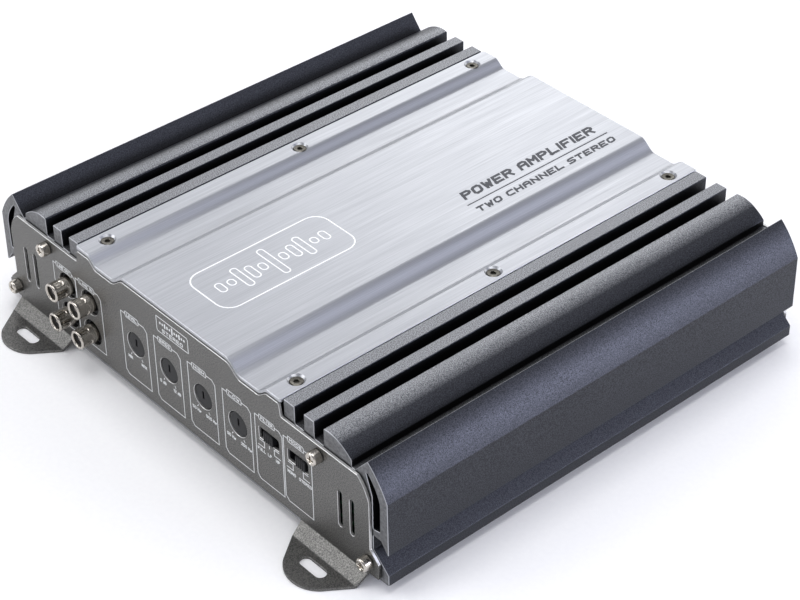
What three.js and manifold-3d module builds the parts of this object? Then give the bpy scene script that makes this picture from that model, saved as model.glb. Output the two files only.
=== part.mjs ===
// Two-channel car amplifier: an extruded aluminium chassis with cooling fins, a brushed top plate,
// folded steel end panels whose ears screw down to the car's floor, and what they hold.
// Millimetres, +Z up. X runs along the front panel, which faces -Y. The origin is on the surface
// that the ears stand on, at the middle of the amplifier.

import * as THREE from 'three';
import { mergeVertices } from 'three/addons/utils/BufferGeometryUtils.js';
import Module from 'manifold-3d';

// ---- Driving dimensions ---------------------------------------------------------------------

const WIDTH = 240;               // over the two outer shells
const LENGTH = 216;              // of the extruded chassis
const HEIGHT = 52.2;             // chassis underside to fin tops
const STAND_HEIGHT = 4.2;        // chassis underside above the surface, set by the ears
const GAP = 0.3;                 // between pieces that touch

// Extruded chassis, distances across are measured inwards from the outer side.
const DECK = 4;                  // thickness of the deck that carries the fins
const FIN_HEIGHT = 7.9;
const FIN_ZONE = 56.2;           // side to the inner face of the first fin
const FIN_WIDTHS = [6, 5.6, 15];
const CHANNEL = 5.3;             // between two fins
const WALL = 3.65;
const WALL_INSET = 8.15;         // side to the outer face of the wall
const FOOT_WIDTH = 16;           // of the solid foot under each wall
const LEDGE_Z = 5;               // top of the foot's inner ledge, which carries the board
const GROOVE_DEPTH = 3.2;        // for the bottom cover's edges
const BOSS_RADIUS = 3.4;         // round rib under the deck that takes an end panel screw

// Top plate and the rails that carry it.
const PLATE = 1.5;
const CROWN_Z = 53.3;            // middle of the plate
const VALLEY_Z = 48.75;
const SHOULDER_Z = 52.1;
const SHOULDER_WIDTH = 7.4;      // flat along each edge of the plate
const OUTER_RAMP = 6;
const VALLEY_WIDTH = 9.6;
const INNER_RAMP = 8.4;
const PLATE_OVERHANG = 1.1;      // past each end of the chassis, over the end panel
const RAIL_WIDTH = 6;
const RAIL_INSET = 5;            // plate's edge to the line of its screws
const PLATE_SCREW_END = 10.5;    // chassis end to the first screw
const PLATE_TO_FIN = 0.4;        // plate's edge to the first fin

// End panels.
const SHEET = 1.2;
const PANEL_BOTTOM = 1.35;
const PANEL_SHOULDER = 44.5;     // height of the panel in front of the fins
const EAR_SLOT_LENGTH = 13;
const EAR_SLOT_WIDTH = 4.8;
const EAR_WIDTH = 37.5;
const EAR_REACH = 20.3;          // panel face to the ear's tip
const EAR_FOLD = 5.2;            // panel face to the ear's fold
const EAR_TIP_RADIUS = 14.1;
const EAR_INSET = 28.4;          // side to the middle of the ear
const VENT_LENGTH = 17.1;
const VENT_WIDTH = 2.4;
const VENT_Z = 21.95;
const VENT_INSETS = [17.8, 24.3];
const UPPER_SCREW = { inset: 35.5, z: 40 };
const LOWER_SCREW = { inset: 9.3, z: 7.1 };

// Bottom cover and circuit board.
const COVER = 1;
const COVER_LIFT = 2.3;          // of the cover's edges, which run in the chassis grooves
const COVER_OVERHANG = 1.3;      // past each end of the chassis, under the end panel
const BOARD = 1.6;
const BOARD_SETBACK = 2.5;       // board end to chassis end

// Screws.
const SHANK_RADIUS = 1.3;
const SHANK_LENGTH = 9.5;        // of the end panel screws
const PAN_HEAD = { radius: 2.9, height: 4 };
const PLATE_HEAD_RADIUS = 3.2;
const TERMINAL_HEAD = { radius: 3.2, height: 2.6 };
const TERMINAL_SHANK_RADIUS = 1.7;
const TERMINAL_SHANK_LENGTH = 7;

// Front controls.
const POT_X = [-26.8, -5.5, 15.8, 37.1];
const POT_Z = 24.3;
const POT_CAP_RADIUS = 5.2;
const POT_CAP_DEPTH = 2;
const POT_CAP_SETBACK = 0.35;    // cap's face behind the panel's face
const POT_STEM_RADIUS = 1.5;
const POT_STEM_LENGTH = 5;
const POT_CASE = { width: 9.6, depth: 6.4, height: 11 };
const SWITCH_Z = 29.2;
const SWITCH_WINDOW = { width: 11.6, height: 5.3 };
const SWITCH_CASE = { width: 15, depth: 6.5, height: 8.4 };
const SWITCH_PROUD = 0.7;        // how far a switch knob stands out of the panel
const SWITCH_KNOB_WIDTH = 5.4;
const SWITCH_POCKET = 3.5;       // depth of the pocket that the knob slides in
const FILTER_SWITCH_X = 55.85;
const MODE_SWITCH_X = 72.45;
const MODE_TRAVEL = 3.6;         // between the mode switch's two places

// Phono sockets.
const SOCKET_X = [-72.7, -57.3];
const SOCKET_Z = [12.9, 27.6];
const SLEEVE_RADIUS = 4.15;
const SLEEVE_WALL = 0.6;
const SLEEVE_PROUD = 8;
const SLEEVE_SEAT = 2.5;         // how deep the sleeve stands in the block
const CORE_RECESS = 1.6;         // mouth of the sleeve to the insulator's face
const PIN_RADIUS = 1.6;
const SOCKET_HOLE_RADIUS = 5.7;
const SOCKET_BLOCK_DEPTH = 13;

// Rear terminals and fuses.
const TERMINAL_BLOCKS = {
  power: { x: -54, ways: 3, pitch: 13, barrier: 1.6 },
  speaker: { x: 53, ways: 4, pitch: 10.5, barrier: 1.4 },
};
const TERMINAL_Z = [10, 32];
const TERMINAL_SCREW_Z = 24;
const TERMINAL_PROUD = 9;        // barriers, out of the panel
const TERMINAL_FACE = 1;         // face that the screws sit on, out of the panel
const TERMINAL_DEPTH = 14;
const FUSE_X = [-7.5, 7.5];
const FUSE_Z = 21;
const FUSE = { thick: 5.2, wide: 19, proud: 9.5 };
const BLADE = { thick: 0.8, wide: 5.2, length: 7.5, offset: 6.9 };
const FUSE_HOLDER = { width: 31, height: 24, depth: 13 };
const LED_X = 22;
const LED_Z = 36;
const LED_RADIUS = 2.5;

// Parts on the board.
const TRANSISTOR = { thick: 5, wide: 16, z: [13, 34] };
const TRANSISTOR_Y = [-18, 42];
const CLIP = 1;
const CLIP_FLANGE = 8;
const TOROID = { x: -32, y: 14, outer: 24, inner: 11, height: 20 };
const CHOKE = { x: 36, y: 52, outer: 13, inner: 5.5, height: 12 };
const CAPACITOR = { radius: 11, headroom: 2.5, x: [20, 46], y: 10 };

// ---- Sizes that follow ------------------------------------------------------------------------

const SIDE = WIDTH / 2;
const END = LENGTH / 2;
const PANEL_FACE = END + GAP + SHEET;
const DECK_TOP = HEIGHT - FIN_HEIGHT;
const DECK_UNDER = DECK_TOP - DECK;
const WALL_OUT = SIDE - WALL_INSET;
const WALL_IN = WALL_OUT - WALL;
const PLATE_HALF = SIDE - FIN_ZONE - PLATE_TO_FIN;
const PLATE_SCREW_X = PLATE_HALF - RAIL_INSET;
const RAIL_TOP = SHOULDER_Z - PLATE - GAP;
const BOARD_Z = LEDGE_Z + GAP;
const BOARD_TOP = BOARD_Z + BOARD;
const ON_BOARD = BOARD_TOP + GAP;
const EAR_X = SIDE - EAR_INSET;
const PANEL_SCREWS = [UPPER_SCREW, LOWER_SCREW].flatMap(({ inset, z }) => [
  [SIDE - inset, z],
  [inset - SIDE, z],
]);
const BEHIND_PANEL = SHEET + GAP;

// ---- Helpers ----------------------------------------------------------------------------------

const wasm = await Module();
wasm.setup();

// A closed geometry as a solid that can be cut and joined.
function solid(geometry) {
  const bare = geometry.clone();
  bare.deleteAttribute('normal');
  bare.deleteAttribute('uv');
  const merged = mergeVertices(bare);
  const vertProperties = merged.attributes.position.array;
  const triVerts = new Uint32Array(merged.index.array);
  const made = new wasm.Manifold(new wasm.Mesh({ numProp: 3, vertProperties, triVerts }));
  return made.volume() > 0 ? made : solid(turnedInsideOut(merged));
}

function turnedInsideOut(geometry) {
  const flipped = geometry.clone();
  flipped.setIndex([...geometry.index.array].reverse());
  return flipped;
}

function geometryOf(made) {
  const { numProp, vertProperties, triVerts } = made.getMesh();
  const geometry = new THREE.BufferGeometry();
  geometry.setAttribute('position', new THREE.BufferAttribute(vertProperties, numProp));
  geometry.setIndex(new THREE.BufferAttribute(triVerts, 1));
  geometry.computeVertexNormals();
  return geometry;
}

function join(...solids) {
  return solids.reduce((sum, next) => sum.add(next));
}

function cut(from, ...tools) {
  return tools.reduce((rest, tool) => rest.subtract(tool), from);
}

function box([x0, x1], [y0, y1], [z0, z1]) {
  const geometry = new THREE.BoxGeometry(x1 - x0, y1 - y0, z1 - z0);
  geometry.translate((x0 + x1) / 2, (y0 + y1) / 2, (z0 + z1) / 2);
  return solid(geometry);
}

function extruded(shape, depth) {
  return new THREE.ExtrudeGeometry(shape, { depth, bevelEnabled: false, curveSegments: 6 });
}

// A shape drawn in X and Z, run along Y.
function alongY(shape, [y0, y1]) {
  const geometry = extruded(shape, y1 - y0);
  geometry.rotateX(Math.PI / 2);
  geometry.translate(0, y1, 0);
  return solid(geometry);
}

// A shape drawn in Y and Z, run along X.
function alongX(shape, [x0, x1]) {
  const geometry = extruded(shape, x1 - x0);
  const turn = new THREE.Matrix4();
  turn.makeBasis(new THREE.Vector3(0, 1, 0), new THREE.Vector3(0, 0, 1), new THREE.Vector3(1, 0, 0));
  geometry.applyMatrix4(turn);
  geometry.translate(x0, 0, 0);
  return solid(geometry);
}

// A shape drawn in X and Y, run along Z.
function alongZ(shape, [z0, z1]) {
  const geometry = extruded(shape, z1 - z0);
  geometry.translate(0, 0, z0);
  return solid(geometry);
}

// Pairs of radius and place along the axis, turned about Y or about Z.
function turnedAboutY(profile, segments) {
  const points = profile.map(([radius, y]) => new THREE.Vector2(radius, y));
  return solid(new THREE.LatheGeometry(points, segments));
}

function turnedAboutZ(profile, segments) {
  const points = profile.map(([radius, z]) => new THREE.Vector2(radius, z));
  const geometry = new THREE.LatheGeometry(points, segments);
  geometry.rotateX(Math.PI / 2);
  return solid(geometry);
}

function rodAlongY(radius, [y0, y1], [x, z], segments = 16) {
  const geometry = new THREE.CylinderGeometry(radius, radius, y1 - y0, segments);
  geometry.translate(x, (y0 + y1) / 2, z);
  return solid(geometry);
}

function rodAlongZ(radius, [x, y], [z0, z1], segments = 16) {
  const geometry = new THREE.CylinderGeometry(radius, radius, z1 - z0, segments);
  geometry.rotateX(Math.PI / 2);
  geometry.translate(x, y, (z0 + z1) / 2);
  return solid(geometry);
}

// The right half of an outline, drawn clockwise from the middle line round to the middle line,
// and its mirror. The whole runs anticlockwise, as a shape with holes has to, and its ends on
// the middle line drop out because they lie within a straight stretch.
function mirroredShape(half) {
  const right = half.filter((p) => p.x > 0);
  const left = right.map((p) => new THREE.Vector2(-p.x, p.y));
  return new THREE.Shape([...left, ...right.reverse()]);
}

function circle(x, z, radius, segments = 18) {
  const points = [];
  for (let i = 0; i < segments; i++) {
    const angle = (i / segments) * 2 * Math.PI;
    points.push(new THREE.Vector2(x + radius * Math.cos(angle), z + radius * Math.sin(angle)));
  }
  return points;
}

// A slot with round ends, lying along the drawing's first axis or standing along its second.
function slot(x, z, length, width, upright) {
  const steps = 5;
  const points = [];
  for (const end of [1, -1]) {
    for (let i = 0; i <= steps; i++) {
      const angle = (i / steps - 0.5) * Math.PI;
      const along = end * ((length - width) / 2 + (width / 2) * Math.cos(angle));
      const across = end * (width / 2) * Math.sin(angle);
      points.push(new THREE.Vector2(x + (upright ? -across : along), z + (upright ? along : across)));
    }
  }
  return points;
}

function rectangle(x, z, width, height) {
  const corners = [[-1, -1], [1, -1], [1, 1], [-1, 1]];
  return corners.map(([a, b]) => new THREE.Vector2(x + (a * width) / 2, z + (b * height) / 2));
}

function mesh(name, made, [color, roughness, metalness], parent, [x, y, z] = [0, 0, 0]) {
  const material = new THREE.MeshStandardMaterial({ color, roughness, metalness });
  const part = new THREE.Mesh(geometryOf(made), material);
  part.name = name;
  part.position.set(x, y, z);
  parent.add(part);
}

// Finishes as colour, roughness and metalness.
const ANTHRACITE_COAT = ['#3a3c42', 0.55, 0.5];
const BRUSHED_ALUMINIUM = ['#b9bbc1', 0.35, 0.9];
const SATIN_STEEL = ['#85878a', 0.45, 0.8];
const ZINC_SHEET = ['#8f9092', 0.5, 0.8];
const NICKEL = ['#a9a49c', 0.2, 1];
const BLACK_PLASTIC = ['#17181a', 0.5, 0];
const GREEN_BOARD = ['#1f4a33', 0.6, 0];
const COPPER_WINDING = ['#9a5a2c', 0.4, 0.8];
const BLACK_SLEEVE = ['#1c1d22', 0.4, 0];
const SPRING_STEEL = ['#6d6f72', 0.4, 0.9];
const AMBER_PLASTIC = ['#c9751b', 0.3, 0];
const CLEAR_GREEN = ['#3fae5a', 0.2, 0];

const amplifier = new THREE.Group();
amplifier.position.z = STAND_HEIGHT;

// Each end has its own frame: its Y starts at the panel's outer face and runs inwards.
const frontEnd = new THREE.Group();
frontEnd.position.y = -PANEL_FACE;
const rearEnd = new THREE.Group();
rearEnd.position.y = PANEL_FACE;
rearEnd.rotation.z = Math.PI;
amplifier.add(frontEnd, rearEnd);

// ---- Heatsink chassis ---------------------------------------------------------------------------

// Top of the deck from the middle out: the plate's rail, then the fins and the channels.
function drawFins(path) {
  path.lineTo(PLATE_SCREW_X - RAIL_WIDTH / 2, DECK_TOP);
  path.lineTo(PLATE_SCREW_X - RAIL_WIDTH / 2, RAIL_TOP);
  path.lineTo(PLATE_SCREW_X + RAIL_WIDTH / 2, RAIL_TOP);
  path.lineTo(PLATE_SCREW_X + RAIL_WIDTH / 2, DECK_TOP);
  const [first, second, broad] = FIN_WIDTHS;
  let x = SIDE - FIN_ZONE;
  for (const width of [first, second]) {
    path.lineTo(x, DECK_TOP);
    path.lineTo(x, HEIGHT);
    path.lineTo(x + width, HEIGHT);
    path.lineTo(x + width, DECK_TOP);
    x += width + CHANNEL;
  }
  path.lineTo(x, DECK_TOP);
  path.lineTo(x, HEIGHT + 0.2);
  path.quadraticCurveTo(x + broad * 0.5, HEIGHT + 1.6, x + broad, HEIGHT - 4.6);
  path.lineTo(x + broad, DECK_TOP);
}

// The shell that hangs outside the wall, from the last channel round to the foot.
function drawShell(path) {
  path.lineTo(SIDE - 17.2, DECK_TOP);
  path.lineTo(SIDE - 10.15, HEIGHT - 0.1);
  path.quadraticCurveTo(SIDE - 4.4, HEIGHT - 5.05, SIDE - 0.25, HEIGHT - 13.4);
  path.lineTo(SIDE, 14.2);
  path.lineTo(SIDE - 3.9, 19.4);
  path.lineTo(WALL_OUT, 19.4);
}

// The foot under the wall, with the groove of the bottom cover and the ledge of the board.
function drawFoot(path) {
  const inside = SIDE - FOOT_WIDTH;
  const grooveBottom = COVER_LIFT - GAP;
  const grooveTop = COVER_LIFT + COVER + GAP;
  path.lineTo(WALL_OUT, 12.7);
  path.lineTo(SIDE, 5);
  path.lineTo(SIDE, 0);
  path.lineTo(inside, 0);
  path.lineTo(inside, grooveBottom);
  path.lineTo(inside + GROOVE_DEPTH, grooveBottom);
  path.lineTo(inside + GROOVE_DEPTH, grooveTop);
  path.lineTo(inside, grooveTop);
  path.lineTo(inside, LEDGE_Z);
  path.lineTo(WALL_IN, LEDGE_Z);
}

// Underside of the deck, with the round rib of the upper panel screw.
function drawDeckUnderside(path) {
  const bossX = SIDE - UPPER_SCREW.inset;
  path.lineTo(WALL_IN, DECK_UNDER);
  path.lineTo(bossX + BOSS_RADIUS, DECK_UNDER);
  path.absarc(bossX, UPPER_SCREW.z, BOSS_RADIUS, 0, -Math.PI, true);
  path.lineTo(bossX - BOSS_RADIUS, DECK_UNDER);
  path.lineTo(0, DECK_UNDER);
}

// The space between wall and shell, open at both ends of the chassis.
function shellHollow(side) {
  const path = new THREE.Path();
  path.moveTo(WALL_OUT, 22.4);
  path.lineTo(SIDE - 4.4, 23.2);
  path.lineTo(SIDE - 4.3, HEIGHT - 16.7);
  path.quadraticCurveTo(SIDE - 4.8, HEIGHT - 11.2, SIDE - 10.4, HEIGHT - 5.3);
  path.lineTo(SIDE - 11.3, HEIGHT - 5.8);
  path.lineTo(WALL_OUT, HEIGHT - 14.7);
  return new THREE.Path(path.getPoints(6).map((p) => new THREE.Vector2(side * p.x, p.y)));
}

function plateScrewPlaces() {
  const reach = END - PLATE_SCREW_END;
  return [-reach, 0, reach].flatMap((y) => [[-PLATE_SCREW_X, y], [PLATE_SCREW_X, y]]);
}

function chassis() {
  const boreRadius = SHANK_RADIUS + GAP;
  const path = new THREE.Path();
  path.moveTo(0, DECK_TOP);
  drawFins(path);
  drawShell(path);
  drawFoot(path);
  drawDeckUnderside(path);
  const shape = mirroredShape(path.getPoints(6));
  shape.holes.push(shellHollow(1), shellHollow(-1));
  const endBores = PANEL_SCREWS.flatMap((place) => [
    rodAlongY(boreRadius, [-END - 1, -END + SHANK_LENGTH], place, 10),
    rodAlongY(boreRadius, [END - SHANK_LENGTH, END + 1], place, 10),
  ]);
  const railBores = plateScrewPlaces().map((place) =>
    rodAlongZ(boreRadius, place, [DECK_TOP + 0.6, RAIL_TOP + 1], 10));
  return cut(alongY(shape, [-END, END]), ...endBores, ...railBores);
}

mesh('heatsink_chassis', chassis(), ANTHRACITE_COAT, amplifier);

// ---- Top plate ------------------------------------------------------------------------------------

// Height of the plate's surface from the middle to its edge, moved up or down by lift.
function crownPoints(lift, edge) {
  const steps = 6;
  const ramps = [
    [PLATE_HALF - SHOULDER_WIDTH - OUTER_RAMP - VALLEY_WIDTH - INNER_RAMP, INNER_RAMP, CROWN_Z, VALLEY_Z],
    [PLATE_HALF - SHOULDER_WIDTH - OUTER_RAMP, OUTER_RAMP, VALLEY_Z, SHOULDER_Z],
  ];
  const points = [new THREE.Vector2(0, CROWN_Z + lift)];
  for (const [start, run, from, to] of ramps) {
    for (let i = 0; i <= steps; i++) {
      const share = (1 - Math.cos((i / steps) * Math.PI)) / 2;
      points.push(new THREE.Vector2(start + (run * i) / steps, from + (to - from) * share + lift));
    }
  }
  points.push(new THREE.Vector2(edge, SHOULDER_Z + lift));
  return points;
}

function topPlate() {
  const outline = [...crownPoints(0, PLATE_HALF), ...crownPoints(-PLATE, PLATE_HALF).reverse()];
  const plate = alongY(mirroredShape(outline), [-END - PLATE_OVERHANG, END + PLATE_OVERHANG]);
  const countersink = [
    [0, SHOULDER_Z + 0.5],
    [PLATE_HEAD_RADIUS + GAP, SHOULDER_Z + 0.5],
    [PLATE_HEAD_RADIUS + GAP, SHOULDER_Z - 0.4],
    [SHANK_RADIUS + GAP + 0.4, SHOULDER_Z - PLATE - 0.1],
    [0, SHOULDER_Z - PLATE - 0.1],
  ];
  const sink = turnedAboutZ(countersink, 16);
  return cut(plate, ...plateScrewPlaces().map(([x, y]) => sink.translate(x, y, 0)));
}

mesh('top_plate', topPlate(), BRUSHED_ALUMINIUM, amplifier);

// Countersunk screw with a hexagon socket; its head lies just under the plate's surface.
function plateScrew() {
  const profile = [
    [0, -0.3],
    [PLATE_HEAD_RADIUS, -0.3],
    [PLATE_HEAD_RADIUS, -0.5],
    [SHANK_RADIUS, -PLATE],
    [SHANK_RADIUS, DECK_TOP + 1.2 - SHOULDER_Z],
    [0, DECK_TOP + 0.9 - SHOULDER_Z],
  ];
  const socket = rodAlongZ(1.1, [0, 0], [-1.25, 1], 6);
  return cut(turnedAboutZ(profile, 14), socket);
}

plateScrewPlaces().forEach(([x, y], i) => {
  mesh(`plate_screw_${i + 1}`, plateScrew(), NICKEL, amplifier, [x, y, SHOULDER_Z]);
});

// ---- End panels -----------------------------------------------------------------------------------

function panelShape() {
  const edge = WALL_OUT - 0.2;
  const foot = SIDE - 3.8;
  const path = new THREE.Path(crownPoints(-PLATE - GAP - 0.15, PLATE_HALF - 1.3));
  path.lineTo(PLATE_HALF - 0.6, SHOULDER_Z - PLATE - GAP - 1);
  path.lineTo(PLATE_HALF + 0.1, PANEL_SHOULDER);
  path.lineTo(SIDE - 14.5, PANEL_SHOULDER);
  path.quadraticCurveTo(SIDE - 10.2, PANEL_SHOULDER - 3, edge, PANEL_SHOULDER - 9.5);
  path.lineTo(edge, 13.2);
  path.lineTo(foot, 13.2 - (foot - edge));
  path.lineTo(foot, PANEL_BOTTOM);
  path.lineTo(0, PANEL_BOTTOM);
  return mirroredShape(path.getPoints(6));
}

// Holes that both panels have: for the screws, and the upright vents near each side.
function commonHoles() {
  const screws = PANEL_SCREWS.map(([x, z]) => circle(x, z, SHANK_RADIUS + GAP, 12));
  const vents = VENT_INSETS.flatMap((inset) => [SIDE - inset, inset - SIDE])
    .map((x) => slot(x, VENT_Z, VENT_LENGTH, VENT_WIDTH, true));
  return [...screws, ...vents];
}

// The folded strip seen from the side: down and out from the panel's foot, then level.
function earSection() {
  const top = SHEET - STAND_HEIGHT;
  const start = PANEL_BOTTOM - 0.35;
  const slope = Math.atan2(start - top, EAR_FOLD);
  const foldShift = SHEET * Math.tan(slope / 2);
  return new THREE.Shape([
    new THREE.Vector2(0, start + 2),
    new THREE.Vector2(0, start),
    new THREE.Vector2(-EAR_FOLD, top),
    new THREE.Vector2(-EAR_REACH - 1, top),
    new THREE.Vector2(-EAR_REACH - 1, top - SHEET),
    new THREE.Vector2(-EAR_FOLD + foldShift, top - SHEET),
    new THREE.Vector2(SHEET, start - SHEET * Math.tan(Math.PI / 4 - slope / 2)),
    new THREE.Vector2(SHEET, start + 2),
  ]);
}

// The ear seen from above: a tapering tab with a round tip and a slot for the fixing screw.
function earPlan() {
  const foldHalf = EAR_WIDTH / 2 - 0.75;
  const centre = EAR_TIP_RADIUS - EAR_REACH;
  const reach = centre + EAR_FOLD;
  const toCorner = Math.hypot(foldHalf, reach);
  const tangent = Math.acos(EAR_TIP_RADIUS / toCorner) - Math.atan2(-reach, foldHalf);
  const shape = new THREE.Shape();
  shape.moveTo(EAR_WIDTH / 2, 3);
  shape.lineTo(-EAR_WIDTH / 2, 3);
  shape.lineTo(-EAR_WIDTH / 2, 0);
  shape.lineTo(-foldHalf, -EAR_FOLD);
  shape.absarc(0, centre, EAR_TIP_RADIUS, Math.PI + tangent, 2 * Math.PI - tangent, false);
  shape.lineTo(foldHalf, -EAR_FOLD);
  shape.lineTo(EAR_WIDTH / 2, 0);
  shape.holes.push(new THREE.Path(slot(0, -EAR_REACH / 2, EAR_SLOT_LENGTH, EAR_SLOT_WIDTH, false)));
  return shape;
}

function ears() {
  const strip = alongX(earSection(), [-EAR_WIDTH / 2, EAR_WIDTH / 2]);
  const ear = strip.intersect(alongZ(earPlan(), [-STAND_HEIGHT - 1, PANEL_BOTTOM + 5]));
  return join(ear.translate(EAR_X, 0, 0), ear.translate(-EAR_X, 0, 0));
}

function endPanel(holes) {
  const punches = [...commonHoles(), ...holes].map((outline) =>
    alongY(new THREE.Shape(outline), [-1, SHEET + 1]));
  return join(cut(alongY(panelShape(), [0, SHEET]), ...punches), ears());
}

function frontPanel() {
  const { width, height } = SWITCH_WINDOW;
  return endPanel([
    ...POT_X.map((x) => circle(x, POT_Z, POT_CAP_RADIUS + GAP, 20)),
    ...[FILTER_SWITCH_X, MODE_SWITCH_X].map((x) => rectangle(x, SWITCH_Z, width, height)),
    ...SOCKET_X.flatMap((x) => SOCKET_Z.map((z) => circle(x, z, SOCKET_HOLE_RADIUS))),
  ]);
}

function rearPanel() {
  const [low, high] = TERMINAL_Z;
  const { width, height } = FUSE_HOLDER;
  return endPanel([
    ...Object.values(TERMINAL_BLOCKS).map((block) =>
      rectangle(block.x, (low + high) / 2, blockWidth(block) + 2 * GAP, high - low + 2 * GAP)),
    rectangle(0, FUSE_Z, width + 2 * GAP, height + 2 * GAP),
    circle(LED_X, LED_Z, LED_RADIUS + GAP, 16),
  ]);
}

mesh('front_panel', frontPanel(), SATIN_STEEL, frontEnd);
mesh('rear_panel', rearPanel(), SATIN_STEEL, rearEnd);

// Tall pan head with a cross recess. The same screw holds both panels.
function panelScrew() {
  const { radius, height } = PAN_HEAD;
  const profile = [
    [0, -height],
    [radius * 0.7, -height],
    [radius, -height + 0.9],
    [radius, -GAP],
    [SHANK_RADIUS, -GAP],
    [SHANK_RADIUS, SHANK_LENGTH],
    [0, SHANK_LENGTH + 0.5],
  ];
  const across = box([-1.6, 1.6], [-height - 1, -height + 1.4], [-0.4, 0.4]);
  const upright = box([-0.4, 0.4], [-height - 1, -height + 1.4], [-1.6, 1.6]);
  return cut(turnedAboutY(profile, 12), across, upright);
}

PANEL_SCREWS.forEach(([x, z], i) => {
  mesh(`front_panel_screw_${i + 1}`, panelScrew(), NICKEL, frontEnd, [x, 0, z]);
  mesh(`rear_panel_screw_${i + 1}`, panelScrew(), NICKEL, rearEnd, [x, 0, z]);
});

// ---- Bottom cover ---------------------------------------------------------------------------------

// A sheet whose edges step up into the grooves of the chassis and are trapped by the end panels.
function bottomCover() {
  const edge = SIDE - FOOT_WIDTH + GROOVE_DEPTH - GAP;
  const stepEnd = SIDE - FOOT_WIDTH - 3;
  const stepStart = stepEnd - 3;
  const half = [
    [0, COVER], [stepStart - 0.4, COVER], [stepEnd - 0.4, COVER_LIFT + COVER], [edge, COVER_LIFT + COVER],
    [edge, COVER_LIFT], [stepEnd, COVER_LIFT], [stepStart, 0], [0, 0],
  ].map(([x, z]) => new THREE.Vector2(x, z));
  const reach = END + COVER_OVERHANG;
  const earSide = EAR_X - EAR_WIDTH / 2 - 0.6;
  const corners = [-1, 1].flatMap((a) => [-1, 1].map((b) => {
    const across = [a * earSide, a * SIDE].sort((p, q) => p - q);
    const along = [b * (END - GAP), b * (reach + 1)].sort((p, q) => p - q);
    return box(across, along, [-1, 10]);
  }));
  return cut(alongY(mirroredShape(half), [-reach, reach]), ...corners);
}

mesh('bottom_cover', bottomCover(), ZINC_SHEET, amplifier);

// ---- Circuit board and what stands on it ------------------------------------------------------------

function board() {
  const half = WALL_IN - GAP;
  const reach = END - BOARD_SETBACK;
  return box([-half, half], [-reach, reach], [BOARD_Z, BOARD_TOP]);
}

mesh('circuit_board', board(), GREEN_BOARD, amplifier);

// A wound ring: a rounded section turned about the upright axis, closed on itself.
function woundRing({ outer, inner, height }) {
  const corner = 3;
  const profile = [
    [inner, corner], [inner + corner, 0], [outer - corner, 0], [outer, corner],
    [outer, height - corner], [outer - corner, height], [inner + corner, height],
    [inner, height - corner], [inner, corner],
  ];
  return turnedAboutZ(profile, 16);
}

mesh('transformer_toroid', woundRing(TOROID), COPPER_WINDING, amplifier, [TOROID.x, TOROID.y, ON_BOARD]);
mesh('output_choke', woundRing(CHOKE), COPPER_WINDING, amplifier, [CHOKE.x, CHOKE.y, ON_BOARD]);

// Can with a crimped neck near its foot.
function capacitor() {
  const { radius, headroom } = CAPACITOR;
  const height = DECK_UNDER - ON_BOARD - headroom;
  const profile = [
    [0, 0], [radius, 0], [radius, 2.5], [radius - 0.8, 3.3], [radius, 4.1],
    [radius, height - 0.8], [radius - 0.8, height], [0, height],
  ];
  return turnedAboutZ(profile, 16);
}

CAPACITOR.x.forEach((x, i) => {
  mesh(`reservoir_capacitor_${i + 1}`, capacitor(), BLACK_SLEEVE, amplifier, [x, CAPACITOR.y, ON_BOARD]);
});

// Power transistor against the chassis wall, its three legs down to the board.
function transistor(side) {
  const { thick, wide, z } = TRANSISTOR;
  const against = WALL_IN - GAP;
  const across = (a, b) => [side * a, side * b].sort((p, q) => p - q);
  const body = box(across(against - thick, against), [-wide / 2, wide / 2], z);
  const legs = [-5.4, 0, 5.4].map((y) =>
    box(across(against - 3, against - 2.2), [y - 0.6, y + 0.6], [ON_BOARD, z[0] + 1]));
  return join(body, ...legs);
}

// Spring angle wedged between the deck and the transistors, which it presses to the wall.
function transistorClip(side) {
  const face = WALL_IN - GAP - TRANSISTOR.thick - GAP;
  const top = DECK_UNDER - GAP;
  const across = (a, b) => [side * a, side * b].sort((p, q) => p - q);
  const along = [TRANSISTOR_Y[0] - 12, TRANSISTOR_Y[1] + 12];
  const leaf = box(across(face - CLIP, face), along, [TRANSISTOR.z[0] + 3, top]);
  const flange = box(across(face - CLIP_FLANGE, face), along, [top - CLIP, top]);
  return join(leaf, flange);
}

[[1, 'right'], [-1, 'left']].forEach(([side, name]) => {
  TRANSISTOR_Y.forEach((y, i) => {
    mesh(`power_transistor_${name}_${i + 1}`, transistor(side), BLACK_PLASTIC, amplifier, [0, y, 0]);
  });
  mesh(`transistor_clip_${name}`, transistorClip(side), SPRING_STEEL, amplifier);
});

// ---- Level and filter controls ----------------------------------------------------------------------

// Turning cap flush in the panel's hole, on a stem that runs into the control's case.
function potCap() {
  const front = POT_CAP_SETBACK;
  const back = front + POT_CAP_DEPTH;
  const profile = [
    [0, front],
    [POT_CAP_RADIUS - 0.3, front],
    [POT_CAP_RADIUS, front + 0.3],
    [POT_CAP_RADIUS, back],
    [POT_STEM_RADIUS, back],
    [POT_STEM_RADIUS, back + POT_STEM_LENGTH],
    [0, back + POT_STEM_LENGTH],
  ];
  const pointer = box([-0.5, 0.5], [front - 1, front + 0.8], [-1, 2.6]);
  return cut(turnedAboutY(profile, 20), pointer);
}

function potCase() {
  const { width, depth, height } = POT_CASE;
  const front = POT_CAP_SETBACK + POT_CAP_DEPTH + 2 * GAP;
  const body = box([-width / 2, width / 2], [front, front + depth], [-height / 2, height / 2]);
  const foot = box([-width / 2, width / 2], [front + depth - 2, front + depth], [ON_BOARD - POT_Z, 0]);
  const bore = rodAlongY(POT_STEM_RADIUS + GAP, [front - 1, front + POT_STEM_LENGTH + 0.5], [0, 0], 14);
  return cut(join(body, foot), bore);
}

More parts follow.
